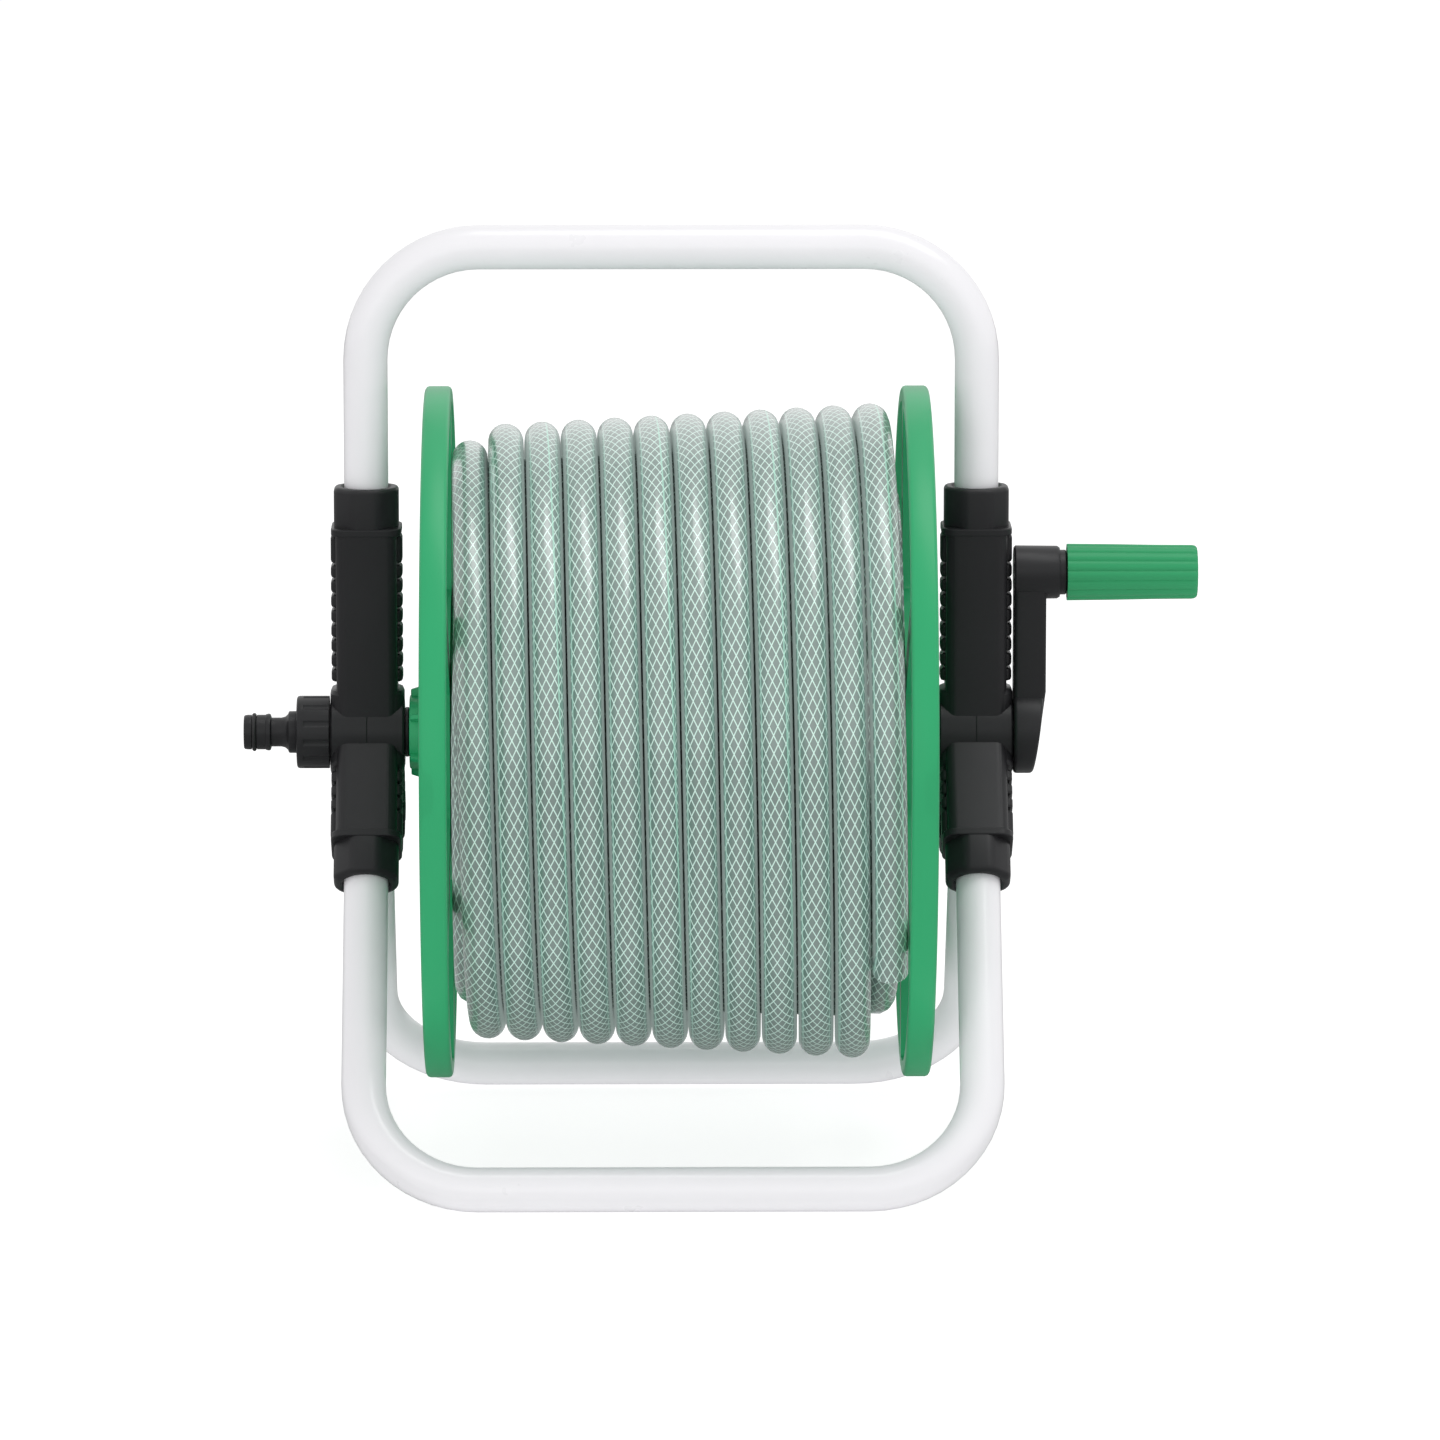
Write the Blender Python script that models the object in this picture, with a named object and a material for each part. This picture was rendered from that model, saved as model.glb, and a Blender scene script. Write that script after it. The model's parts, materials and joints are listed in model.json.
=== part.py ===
"""Freestanding garden hose reel: a tube stand with a crank-wound drum of braided hose.

Metres, +Z up, +X towards the crank, -Y towards the front foot.
The pieces are drawn about the axle centre and carried by empties, so that every
moving piece has its parent empty on its own axis.
"""

import bpy
import bmesh
import numpy as np
from math import asin, atan2, ceil, cos, pi, radians, sin, sqrt
from mathutils import Matrix, Vector

# Clearances
FIT = 0.0003
RUNNING_GAP = 0.0003
WELD = 0.000002

# Facets round the turned shapes
RIM_SIDES = 40
LAYER_SIDES = 32
HUB_SIDES = 24
ROUND_SIDES = 20
SMALL_SIDES = 16
BORE_SIDES = 12
SCREW_SIDES = 8
WINDOW_STEPS = 6

# Stand tubes
TUBE_OD = 0.0200
TUBE_WALL = 0.0015
TUBE_SPAN = 0.2760
BEND_RADIUS = 0.0510
HANDLE_REACH = 0.2215
LEG_REACH = 0.2260
LEG_SPLAY = radians(36.0)
SOCKET_DEPTH = 0.0360
TUBE_SIDES = 12
BEND_STEPS = 5

# Side brackets
UPPER_ARM_REACH = 0.1130
LOWER_ARM_REACH = 0.0770
COLLAR_LENGTH = 0.0180
COLLAR_WALL = 0.00435
COLLAR_CHAMFER = 0.0015
ARM_SIDE_WALL = 0.0037
ARM_FACE_WALL = 0.0045
RIB_HEIGHT = 0.0022
RIB_PITCH = 0.0068
RIB_FLANK = 0.25
HUB_WALL = 0.0054
HUB_PROUD = 0.00055

# Pan heads, as shares of the head's height and radius
PAN_SHOULDER = 0.6
PAN_CROWN = 0.7

# Tube screws
TUBE_SCREW_SHANK = 0.0035
TUBE_SCREW_HEAD = 0.0070
TUBE_SCREW_HEAD_HEIGHT = 0.0022
TUBE_SCREW_BITE = 0.0040

# Drum
LEFT_DRUM_GAP = 0.00975
RIGHT_DRUM_GAP = 0.00475
FLANGE_OD = 0.3140
RIM_WIDTH = 0.0120
RIM_THICKNESS = 0.0045
WEB_THICKNESS = 0.0040
WEB_LIP = 0.0025
SPOKE_COUNT = 6
SPOKE_WIDTH = 0.0140
HUB_LIP = 0.0050
BOSS_WALL = 0.0045
BARREL_OD = 0.1240
BARREL_WALL = 0.0040
DRUM_SCREW_COUNT = 4
DRUM_SCREW_SHANK = 0.0034
DRUM_SCREW_HEAD = 0.0072
DRUM_SCREW_HEAD_HEIGHT = 0.0024
DRUM_SCREW_LENGTH = 0.0160
SCREW_BOSS_WALL = 0.0025
SCREW_BOSS_BITE = 0.0005

# Hose
HOSE_OD = 0.0159
HOSE_BORE = 0.0125
TURN_GAP = 0.0005
LAYER_GAP = 0.0006
LAYER_COUNT = 5
WINDING_TAPER = 0.0102
WINDING_START = radians(-150.0)
WINDING_CLIMB_END = radians(120.0)
WINDING_LAST_TURN = radians(122.0)
POINTS_PER_LOOP = 24
TURN_FLANK = radians(36.0)

# Water inlet
JOURNAL_OD = 0.0160
JOURNAL_LENGTH = 0.0270
SPIGOT_STEP = 0.0007
SPIGOT_BORE = 0.0090
THREAD_DEPTH = 0.0042
THREAD_LENGTH = 0.0115
SEAL_WIDTH = 0.0018
SEAL_DEPTH = 0.0021
SEAL_SPACING = 0.0070
RETAINER_OD = 0.0227
RETAINER_WIDTH = 0.0017
RETAINER_GROOVE = 0.0006
SKIRT_WALL = 0.0033
SKIRT_RIB_DEPTH = 0.0006
SKIRT_FLOOR = 0.0018
WASHER_THICKNESS = 0.0012
WASHER_RELIEF = 0.0012
COLLAR_RING_OD = 0.0191
COLLAR_RING_LENGTH = 0.0041
NIPPLE_NECK_OD = 0.0132
NIPPLE_NECK_LENGTH = 0.0074
NIPPLE_HEAD_OD = 0.0158
NIPPLE_HEAD_LENGTH = 0.0126
NIPPLE_RING_STEP = 0.0008
NIPPLE_RING_WIDTH = 0.0022
NIPPLE_CHAMFER = 0.0008
NIPPLE_SEAL_INSET = 0.0047

# Water elbow inside the drum
ELBOW_WALL = 0.0037
ELBOW_SHOULDER = 0.0050
ELBOW_SHOULDER_THICKNESS = 0.0030
ELBOW_LENGTH = 0.0430
BARB_WALL = 0.0020
BARB_REACH = 0.0380
LEAD_START = 0.0160
CLAMP_WIDTH = 0.0080
CLAMP_WALL = 0.0013
CLAMP_INSET = 0.0070

# Crank and grip
SHAFT_OD = 0.0160
BUSH_WALL = 0.0020
BUSH_LIP_OD = 0.0280
BUSH_LIP = 0.0012
CRANK_RADIUS = 0.0730
CRANK_GAP = 0.0004
CRANK_DISC_OD = 0.0386
CRANK_THICKNESS = 0.0146
CRANK_RIM = 0.0095
CRANK_FLOOR = 0.0018
CRANK_BOSS_OD = 0.0246
CRANK_BOSS_HEIGHT = 0.0062
CRANK_NECK_OD = 0.0204
CRANK_NECK_HEIGHT = 0.0030
CRANK_SCREW_SHANK = 0.0038
CRANK_SCREW_HEAD = 0.0080
CRANK_SCREW_HEAD_HEIGHT = 0.0016
CRANK_SCREW_SINK = 0.0023
CRANK_SCREW_LENGTH = 0.0150
SHAFT_SCREW_HEAD = 0.0150
SHAFT_SCREW_HEAD_HEIGHT = 0.0030
GRIP_LENGTH = 0.0590
GRIP_ROOT_OD = 0.0259
GRIP_TIP_OD = 0.0245
GRIP_FLUTES = 16
GRIP_FLUTE_DEPTH = 0.0005
GRIP_EDGE = 0.0015
PIN_OD = 0.0080
PIN_ROOT = 0.0160
PIN_HEAD_STEP = 0.0022
PIN_HEAD_HEIGHT = 0.0022
PIN_HEAD_CLEARANCE = 0.0008
PIN_HEAD_SINK = 0.0030

# Sizes that follow from the ones above
TUBE_R = TUBE_OD / 2
TUBE_X = TUBE_SPAN / 2
COLLAR_OD = TUBE_OD + 2 * (FIT + COLLAR_WALL)
ARM_WAIST = TUBE_OD + 2 * (FIT + ARM_SIDE_WALL)
ARM_WIDTH = ARM_WAIST + 2 * RIB_HEIGHT
ARM_DEPTH = TUBE_OD + 2 * (FIT + ARM_FACE_WALL)
BUSH_OD = SHAFT_OD + 2 * (RUNNING_GAP + BUSH_WALL)
HUB_OD = BUSH_OD + 2 * (FIT + HUB_WALL)
HUB_LENGTH = ARM_WIDTH + 2 * HUB_PROUD
SHAFT_SQUARE = SHAFT_OD / sqrt(2) - FIT
SPIGOT_OD = JOURNAL_OD + 2 * SPIGOT_STEP
THREAD_OD = SPIGOT_OD + 2 * THREAD_DEPTH
SKIRT_OD = THREAD_OD + 2 * (FIT + SKIRT_WALL)
NIPPLE_RING_OD = NIPPLE_HEAD_OD + 2 * NIPPLE_RING_STEP
ELBOW_OD = JOURNAL_OD + 2 * (FIT + ELBOW_WALL)
ELBOW_SHOULDER_OD = ELBOW_OD + 2 * ELBOW_SHOULDER
BOSS_OD = ELBOW_OD + 2 * (FIT + BOSS_WALL)
FLANGE_HUB_OD = BARREL_OD + 2 * HUB_LIP
SCREW_BOSS_OD = DRUM_SCREW_SHANK + 2 * (FIT + SCREW_BOSS_WALL)
SCREW_CIRCLE_RADIUS = BARREL_OD / 2 - BARREL_WALL - SCREW_BOSS_OD / 2 + SCREW_BOSS_BITE
BARB_OD = HOSE_BORE - 2 * FIT
BARB_BORE = BARB_OD - 2 * BARB_WALL
PIN_HEAD_OD = PIN_OD + 2 * PIN_HEAD_STEP
GRIP_RECESS_OD = PIN_HEAD_OD + 2 * PIN_HEAD_CLEARANCE
GRIP_RECESS_DEPTH = RUNNING_GAP + PIN_HEAD_HEIGHT + PIN_HEAD_SINK

# Places along X and round the axle, measured from the axle centre
AXLE_HEIGHT = LEG_REACH * cos(LEG_SPLAY) + TUBE_R
HUB_INNER = TUBE_X - HUB_LENGTH / 2
HUB_OUTER = TUBE_X + HUB_LENGTH / 2
ARM_ANGLES = (0.0, pi - LEG_SPLAY, pi + LEG_SPLAY)

LEFT_RIM_OUTER = -(HUB_INNER - LEFT_DRUM_GAP)
RIGHT_RIM_OUTER = HUB_INNER - RIGHT_DRUM_GAP
LEFT_WEB_INNER = LEFT_RIM_OUTER + RIM_WIDTH
RIGHT_WEB_INNER = RIGHT_RIM_OUTER - RIM_WIDTH
BARREL_LEFT = LEFT_WEB_INNER + FIT
BARREL_RIGHT = RIGHT_WEB_INNER - FIT

SPIGOT_SHOULDER = -(HUB_OUTER + FIT)
THREAD_END = SPIGOT_SHOULDER - THREAD_LENGTH
RETAINER_OUTER = -(HUB_INNER - FIT)
RETAINER_INNER = RETAINER_OUTER + RETAINER_WIDTH
LEFT_BOSS_END = RETAINER_INNER + RUNNING_GAP
JOURNAL_END = LEFT_BOSS_END + JOURNAL_LENGTH
WASHER_NEAR = THREAD_END - FIT
WASHER_FAR = WASHER_NEAR - WASHER_THICKNESS
SKIRT_OPEN = SPIGOT_SHOULDER - FIT
SKIRT_CLOSED = WASHER_FAR - FIT - SKIRT_FLOOR
COLLAR_RING_END = SKIRT_CLOSED - COLLAR_RING_LENGTH
NECK_END = COLLAR_RING_END - NIPPLE_NECK_LENGTH
INLET_TIP = NECK_END - NIPPLE_HEAD_LENGTH

BUSH_LIP_OUTER = HUB_INNER - FIT
BUSH_LIP_INNER = BUSH_LIP_OUTER - BUSH_LIP
RIGHT_BOSS_END = BUSH_LIP_INNER - RUNNING_GAP
CRANK_INNER = HUB_OUTER + CRANK_GAP
CRANK_OUTER = CRANK_INNER + CRANK_THICKNESS
CRANK_SLOPE = (CRANK_THICKNESS - CRANK_RIM) / CRANK_DISC_OD
CRANK_FACE = CRANK_INNER + (CRANK_THICKNESS + CRANK_RIM) / 2
CRANK_SEAT = CRANK_FACE - CRANK_SCREW_SINK
CRANK_BOSS_END = CRANK_OUTER + CRANK_BOSS_HEIGHT
CRANK_NECK_END = CRANK_BOSS_END + CRANK_NECK_HEIGHT
SHAFT_INNER_END = RIGHT_WEB_INNER - FIT
SHAFT_OUTER_END = CRANK_SEAT - CRANK_FLOOR - FIT
GRIP_START = CRANK_NECK_END + RUNNING_GAP
GRIP_END = GRIP_START + GRIP_LENGTH
PIN_START = CRANK_NECK_END - PIN_ROOT
PIN_HEAD_INNER = GRIP_END - GRIP_RECESS_DEPTH + RUNNING_GAP

ELBOW_OUTLET_X = LEFT_BOSS_END + ELBOW_LENGTH - ELBOW_OD / 2
CENTRE_SHIFT = -(GRIP_END + INLET_TIP) / 2

LAYER_STEP = HOSE_OD + LAYER_GAP
WINDING_RADIUS = BARREL_OD / 2 + FIT + HOSE_OD / 2 + (LAYER_COUNT - 1) * LAYER_STEP
WINDING_RADIUS_LEFT = WINDING_RADIUS - WINDING_TAPER / 2
WINDING_RADIUS_RIGHT = WINDING_RADIUS + WINDING_TAPER / 2
WINDING_LEFT = BARREL_LEFT + HOSE_OD / 2
WINDING_RIGHT = BARREL_RIGHT - HOSE_OD / 2
WHOLE_TURNS = int((WINDING_RIGHT - WINDING_LEFT) / (HOSE_OD + TURN_GAP) - WINDING_LAST_TURN / (2 * pi))
WINDING_END = 2 * pi * WHOLE_TURNS + WINDING_LAST_TURN

COLOURS = {
    "white_paint": ((0.80, 0.81, 0.81), 0.25, 0.0),
    "black_plastic": ((0.026, 0.026, 0.028), 0.45, 0.0),
    "green_plastic": ((0.045, 0.42, 0.16), 0.35, 0.0),
    "grip_green": ((0.045, 0.35, 0.14), 0.45, 0.0),
    "clear_hose": ((0.24, 0.36, 0.32), 0.20, 0.0),
    "zinc_steel": ((0.55, 0.56, 0.57), 0.35, 1.0),
    "black_rubber": ((0.012, 0.012, 0.012), 0.65, 0.0),
    "white_plastic": ((0.72, 0.72, 0.70), 0.40, 0.0),
}


def clear_scene():
    """Start from an empty scene."""
    for thing in list(bpy.data.objects):
        bpy.data.objects.remove(thing, do_unlink=True)


def finish_material(key):
    """Return the Principled material of one finish, made once."""
    made = bpy.data.materials.get(key)
    if made is None:
        colour, roughness, metallic = COLOURS[key]
        made = bpy.data.materials.new(key)
        made.use_nodes = True
        shader = made.node_tree.nodes["Principled BSDF"]
        shader.inputs["Base Color"].default_value = (*colour, 1.0)
        shader.inputs["Roughness"].default_value = roughness
        shader.inputs["Metallic"].default_value = metallic
        made.diffuse_color = (*colour, 1.0)
    return made


def add_object(name, mesh_data, finish, parent=None):
    """Link a mesh or curve as a named object with its material and parent empty."""
    thing = bpy.data.objects.new(name, mesh_data)
    bpy.context.scene.collection.objects.link(thing)
    mesh_data.materials.clear()
    mesh_data.materials.append(finish_material(finish))
    if parent is not None:
        thing.parent = parent
    return thing


def smooth(mesh):
    """Shade round faces smooth and keep the corners crisp."""
    mesh.shade_smooth()
    mesh.set_sharp_from_angle(angle=radians(35.0))


def mesh_from(name, bm):
    """Turn a bmesh into a mesh with its faces pointing out."""
    bmesh.ops.recalc_face_normals(bm, faces=bm.faces[:])
    mesh = bpy.data.meshes.new(name)
    bm.to_mesh(mesh)
    bm.free()
    return mesh


def turned(profile, sides, ripple=0.0, rippled=(), closed=True):
    """A solid turned about X from (x, radius) points.

    The flats of the many-sided ring touch the true radius. A closed profile makes a
    ring with a bore. An open one starts and ends on the axis. Rings whose index is
    in rippled have every second corner drawn in by ripple, which makes flutes.
    """
    bm = bmesh.new()
    grow = 1.0 / cos(pi / sides)
    rings = []
    for index, (x, radius) in enumerate(profile):
        if radius <= 0.0:
            rings.append([bm.verts.new((x, 0.0, 0.0))])
            continue
        ring = []
        for step in range(sides):
            angle = 2 * pi * (step + 0.5) / sides
            dip = ripple if index in rippled and step % 2 else 0.0
            reach = (radius - dip) * grow
            ring.append(bm.verts.new((x, reach * cos(angle), reach * sin(angle))))
        rings.append(ring)
    pairs = list(zip(rings, rings[1:]))
    if closed:
        pairs.append((rings[-1], rings[0]))
    for near, far in pairs:
        for step in range(sides):
            following = (step + 1) % sides
            if len(near) == 1:
                bm.faces.new((near[0], far[step], far[following]))
            elif len(far) == 1:
                bm.faces.new((near[step], far[0], near[following]))
            else:
                bm.faces.new((near[step], far[step], far[following], near[following]))
    return bm


def rod(start, end, radius, sides):
    """A plain cylinder along X."""
    profile = [(start, 0.0), (start, radius), (end, radius), (end, 0.0)]
    return turned(profile, sides, closed=False)


def sleeve(start, end, bore, radius, sides):
    """A plain ring along X."""
    profile = [(start, bore), (start, radius), (end, radius), (end, bore)]
    return turned(profile, sides)


def block(low, high):
    """A box between two corners."""
    bm = bmesh.new()
    size = Vector(high) - Vector(low)
    middle = (Vector(high) + Vector(low)) / 2
    matrix = Matrix.Translation(middle) @ Matrix.Diagonal((*size, 1.0))
    bmesh.ops.create_cube(bm, size=1.0, matrix=matrix)
    return bm


def extruded(outline, travel):
    """The solid that a closed flat outline sweeps along travel."""
    bm = bmesh.new()
    base = bm.faces.new([bm.verts.new(point) for point in outline])
    made = bmesh.ops.extrude_face_region(bm, geom=[base])
    far = [item for item in made["geom"] if isinstance(item, bmesh.types.BMVert)]
    bmesh.ops.translate(bm, verts=far, vec=travel)
    return bm


def prism(outline, low, high):
    """Extrude a closed (y, z) outline along X from low to high."""
    return extruded([(low, y, z) for y, z in outline], (high - low, 0.0, 0.0))


def moved(bm, matrix):
    """Place a bmesh and return it."""
    bmesh.ops.transform(bm, matrix=matrix, verts=bm.verts[:])
    return bm


def combined(base, others, operation):
    """Unite a bmesh with others, or cut them out of it, one by one by exact Booleans."""
    for other in others:
        things = []
        for shape in (base, other):
            thing = bpy.data.objects.new("boolean_operand", mesh_from("boolean_operand", shape))
            bpy.context.scene.collection.objects.link(thing)
            things.append(thing)
        target, tool = things
        modifier = target.modifiers.new("boolean", "BOOLEAN")
        modifier.operation = operation
        modifier.solver = "EXACT"
        modifier.object = tool
        graph = bpy.context.evaluated_depsgraph_get()
        base = bmesh.new()
        base.from_mesh(target.evaluated_get(graph).to_mesh())
        bmesh.ops.remove_doubles(base, verts=base.verts[:], dist=WELD)
        for thing in things:
            mesh = thing.data
            bpy.data.objects.remove(thing, do_unlink=True)
            bpy.data.meshes.remove(mesh)
    return base


def keep(name, bm, finish, parent):
    """Store a finished bmesh as a named piece."""
    mesh = mesh_from(name, bm)
    smooth(mesh)
    return add_object(name, mesh, finish, parent)


def arm_matrix(angle, side):
    """Turn +Z into an arm's direction in the bracket plane on one side of the drum."""
    return Matrix.Translation((side * TUBE_X, 0.0, 0.0)) @ Matrix.Rotation(angle, 4, "X")


def along_z(bm):
    """Stand a shape that was turned about X on the Z axis."""
    return moved(bm, Matrix.Rotation(-pi / 2, 4, "Y"))


def u_tube(reach, start, flat):
    """A hollow U of tube in the XZ plane, its legs running up from start to reach.

    One flat of the tube faces the direction at the angle flat from the way the U points.
    """
    path = []
    turn_z = reach - BEND_RADIUS
    turn_x = TUBE_X - BEND_RADIUS
    path.append((Vector((-TUBE_X, 0.0, start)), 0.0))
    for step in range(BEND_STEPS + 1):
        swing = pi / 2 * step / BEND_STEPS
        x = -turn_x - BEND_RADIUS * cos(swing)
        z = turn_z + BEND_RADIUS * sin(swing)
        path.append((Vector((x, 0.0, z)), swing))
    for point, swing in reversed(path[:]):
        path.append((Vector((-point.x, 0.0, point.z)), pi - swing))
    bm = bmesh.new()
    skins = []
    for radius in (TUBE_R, TUBE_R - TUBE_WALL):
        reach_out = radius / cos(pi / TUBE_SIDES)
        rings = []
        for point, swing in path:
            outward = Vector((-cos(swing), 0.0, sin(swing)))
            ring = []
            for step in range(TUBE_SIDES):
                angle = flat + 2 * pi * (step + 0.5) / TUBE_SIDES
                offset = outward * cos(angle) + Vector((0.0, 1.0, 0.0)) * sin(angle)
                ring.append(bm.verts.new(point + reach_out * offset))
            rings.append(ring)
        skins.append(rings)
    for rings in skins:
        for near, far in zip(rings, rings[1:]):
            for step in range(TUBE_SIDES):
                following = (step + 1) % TUBE_SIDES
                bm.faces.new((near[step], far[step], far[following], near[following]))
    for end in (0, -1):
        outer, inner = skins[0][end], skins[1][end]
        for step in range(TUBE_SIDES):
            following = (step + 1) % TUBE_SIDES
            bm.faces.new((outer[step], inner[step], inner[following], outer[following]))
    return bm


def facet_angle(angle):
    """Turn of a tube's flats that lays one flat on the floor under a leg's foot."""
    if angle == 0.0:
        return 0.0
    return LEG_SPLAY if angle > pi else -LEG_SPLAY


def socket_bore(reach, angle, side):
    """The hole that a tube end slips into, open at the arm's mouth, along +Z."""
    bore = along_z(rod(reach - SOCKET_DEPTH, reach + COLLAR_LENGTH, TUBE_R + FIT, TUBE_SIDES))
    flat = facet_angle(angle)
    return moved(bore, Matrix.Rotation(atan2(sin(flat), side * cos(flat)), 4, "Z"))


def screw_station(reach):
    """Height along an arm at which its tube screw sits."""
    return reach - COLLAR_LENGTH / 2


def tube_screw_matrix(angle, side, reach):
    """Point +X out of the arm's screw face and put its origin on the tube's axis."""
    outward = -pi / 2 if 0.0 < angle < pi else pi / 2
    lift = Matrix.Translation((0.0, 0.0, screw_station(reach)))
    return arm_matrix(angle, side) @ lift @ Matrix.Rotation(outward, 4, "Z")


def ribbed_arm(reach):
    """The grip-ribbed body of an arm: scalloped on both sides, along +Z."""
    start = 0.0
    end = reach - COLLAR_LENGTH
    first = HUB_OD / 2 + RIB_PITCH / 2
    count = int((end - first) / RIB_PITCH)
    right = [(ARM_WAIST / 2, start), (ARM_WAIST / 2, first)]
    for rib in range(count):
        base = first + rib * RIB_PITCH
        right.append((ARM_WIDTH / 2, base + RIB_PITCH * RIB_FLANK))
        right.append((ARM_WIDTH / 2, base + RIB_PITCH * (1 - RIB_FLANK)))
        right.append((ARM_WAIST / 2, base + RIB_PITCH))
    right.append((ARM_WAIST / 2, end))
    left = [(-x, z) for x, z in reversed(right)]
    outline = [(x, -ARM_DEPTH / 2, z) for x, z in right + left]
    return extruded(outline, (0.0, ARM_DEPTH, 0.0))


def socket_collar(reach):
    """The round end of an arm, out of its ribbed body to its chamfered mouth, along +Z."""
    radius = COLLAR_OD / 2
    root = reach - COLLAR_LENGTH - COLLAR_WALL
    profile = [
        (root, 0.0),
        (root, radius),
        (reach - COLLAR_CHAMFER, radius),
        (reach, radius - COLLAR_CHAMFER),
        (reach, 0.0),
    ]
    return along_z(turned(profile, TUBE_SIDES, closed=False))


def bracket(name, side, bore_radius, parent):
    """One side bracket: a hub across the drum's axle and three tube sockets."""
    hub = moved(rod(-HUB_LENGTH / 2, HUB_LENGTH / 2, HUB_OD / 2, HUB_SIDES),
                Matrix.Translation((side * TUBE_X, 0.0, 0.0)))
    solids = []
    holes = []
    for angle in ARM_ANGLES:
        reach = UPPER_ARM_REACH if angle == 0.0 else LOWER_ARM_REACH
        matrix = arm_matrix(angle, side)
        solids.append(moved(socket_collar(reach), matrix))
        solids.append(moved(ribbed_arm(reach), matrix))
        holes.append(moved(socket_bore(reach, angle, side), matrix))
        hole = rod(0.0, COLLAR_OD, TUBE_SCREW_SHANK / 2 + FIT, SCREW_SIDES)
        holes.append(moved(hole, tube_screw_matrix(angle, side, reach)))
    axle_hole = rod(-HUB_LENGTH, HUB_LENGTH, bore_radius, HUB_SIDES)
    holes.append(moved(axle_hole, Matrix.Translation((side * TUBE_X, 0.0, 0.0))))
    body = combined(hub, solids, "UNION")
    body = combined(body, holes, "DIFFERENCE")
    return keep(name, body, "black_plastic", parent)


def stand_tube(name, angle, reach, arm_reach, parent):
    """One bent tube of the stand, with the holes of its two screws."""
    start = arm_reach - SOCKET_DEPTH + FIT
    turn = Matrix.Rotation(angle, 4, "X")
    tube = moved(u_tube(reach, start, facet_angle(angle)), turn)
    holes = []
    for side in (-1, 1):
        hole = rod(0.0, COLLAR_OD, TUBE_SCREW_SHANK / 2 + FIT, SCREW_SIDES)
        holes.append(moved(hole, tube_screw_matrix(angle, side, arm_reach)))
    return keep(name, combined(tube, holes, "DIFFERENCE"), "white_paint", parent)


def pan_screw(tip, seat, shank, head, head_height, sides=SCREW_SIDES):
    """A pan-head screw along X with its head beyond seat."""
    profile = [
        (tip, 0.0),
        (tip, shank / 2),
        (seat, shank / 2),
        (seat, head / 2),
        (seat + head_height * PAN_SHOULDER, head / 2),
        (seat + head_height, head / 2 * PAN_CROWN),
        (seat + head_height, 0.0),
    ]
    return turned(profile, sides, closed=False)


def tube_screws(parent):
    """The six screws that pin the tubes in their sockets, on the faces turned away."""
    names = ("handle", "front_leg", "rear_leg")
    angles = (0.0, pi + LEG_SPLAY, pi - LEG_SPLAY)
    for label, angle in zip(names, angles):
        reach = UPPER_ARM_REACH if angle == 0.0 else LOWER_ARM_REACH
        for side_name, side in (("left", -1), ("right", 1)):
            tip = TUBE_R - TUBE_WALL - TUBE_SCREW_BITE
            seat = COLLAR_OD / 2 / cos(pi / TUBE_SIDES) + FIT
            screw = pan_screw(tip, seat, TUBE_SCREW_SHANK, TUBE_SCREW_HEAD, TUBE_SCREW_HEAD_HEIGHT)
            screw = moved(screw, tube_screw_matrix(angle, side, reach))
            keep(f"{label}_screw_{side_name}", screw, "zinc_steel", parent)


def window_cutter(middle_angle, low, high):
    """One window of a flange, between two spokes."""
    inner = FLANGE_HUB_OD / 2
    outer = FLANGE_OD / 2 - RIM_THICKNESS - WEB_LIP
    half = pi / SPOKE_COUNT
    outline = []
    for radius, order in ((outer, 1), (inner, -1)):
        reach = half - asin(SPOKE_WIDTH / 2 / radius)
        for step in range(WINDOW_STEPS + 1):
            angle = middle_angle + order * reach * (2 * step / WINDOW_STEPS - 1)
            outline.append((radius * cos(angle), radius * sin(angle)))
    return prism(outline, low, high)


def drum_screw_angles():
    """Angles of the screws round the drum hub."""
    return [2 * pi * (index + 0.5) / DRUM_SCREW_COUNT for index in range(DRUM_SCREW_COUNT)]


def on_screw_circle(bm, angle):
    """Move a shape from the axle to the screw circle."""
    y = SCREW_CIRCLE_RADIUS * cos(angle)
    z = SCREW_CIRCLE_RADIUS * sin(angle)
    return moved(bm, Matrix.Translation((0.0, y, z)))


def flange(name, web_inner, side, boss_end, bore, parent):
    """One open flange of the drum: a hooped rim, spokes and a hub boss.

    bore is the cutter of its middle hole.
    """
    rim_r = FLANGE_OD / 2
    rim_outer = web_inner + side * RIM_WIDTH
    web_outer = web_inner + side * WEB_THICKNESS
    profile = [
        (web_inner, 0.0),
        (web_inner, rim_r),
        (rim_outer, rim_r),
        (rim_outer, rim_r - RIM_THICKNESS),
        (web_outer, rim_r - RIM_THICKNESS),
        (web_outer, BOSS_OD / 2),
        (boss_end, BOSS_OD / 2),
        (boss_end, 0.0),
    ]
    body = turned(profile, RIM_SIDES, closed=False)
    low = min(web_inner, web_outer) - RIM_WIDTH
    high = max(web_inner, web_outer) + RIM_WIDTH
    cutters = [bore]
    for index in range(SPOKE_COUNT):
        cutters.append(window_cutter(2 * pi * index / SPOKE_COUNT, low, high))
    for angle in drum_screw_angles():
        hole = rod(low, high, DRUM_SCREW_SHANK / 2 + FIT, SCREW_SIDES)
        cutters.append(on_screw_circle(hole, angle))
    body = combined(body, cutters, "DIFFERENCE")
    return keep(name, body, "green_plastic", parent)


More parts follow.
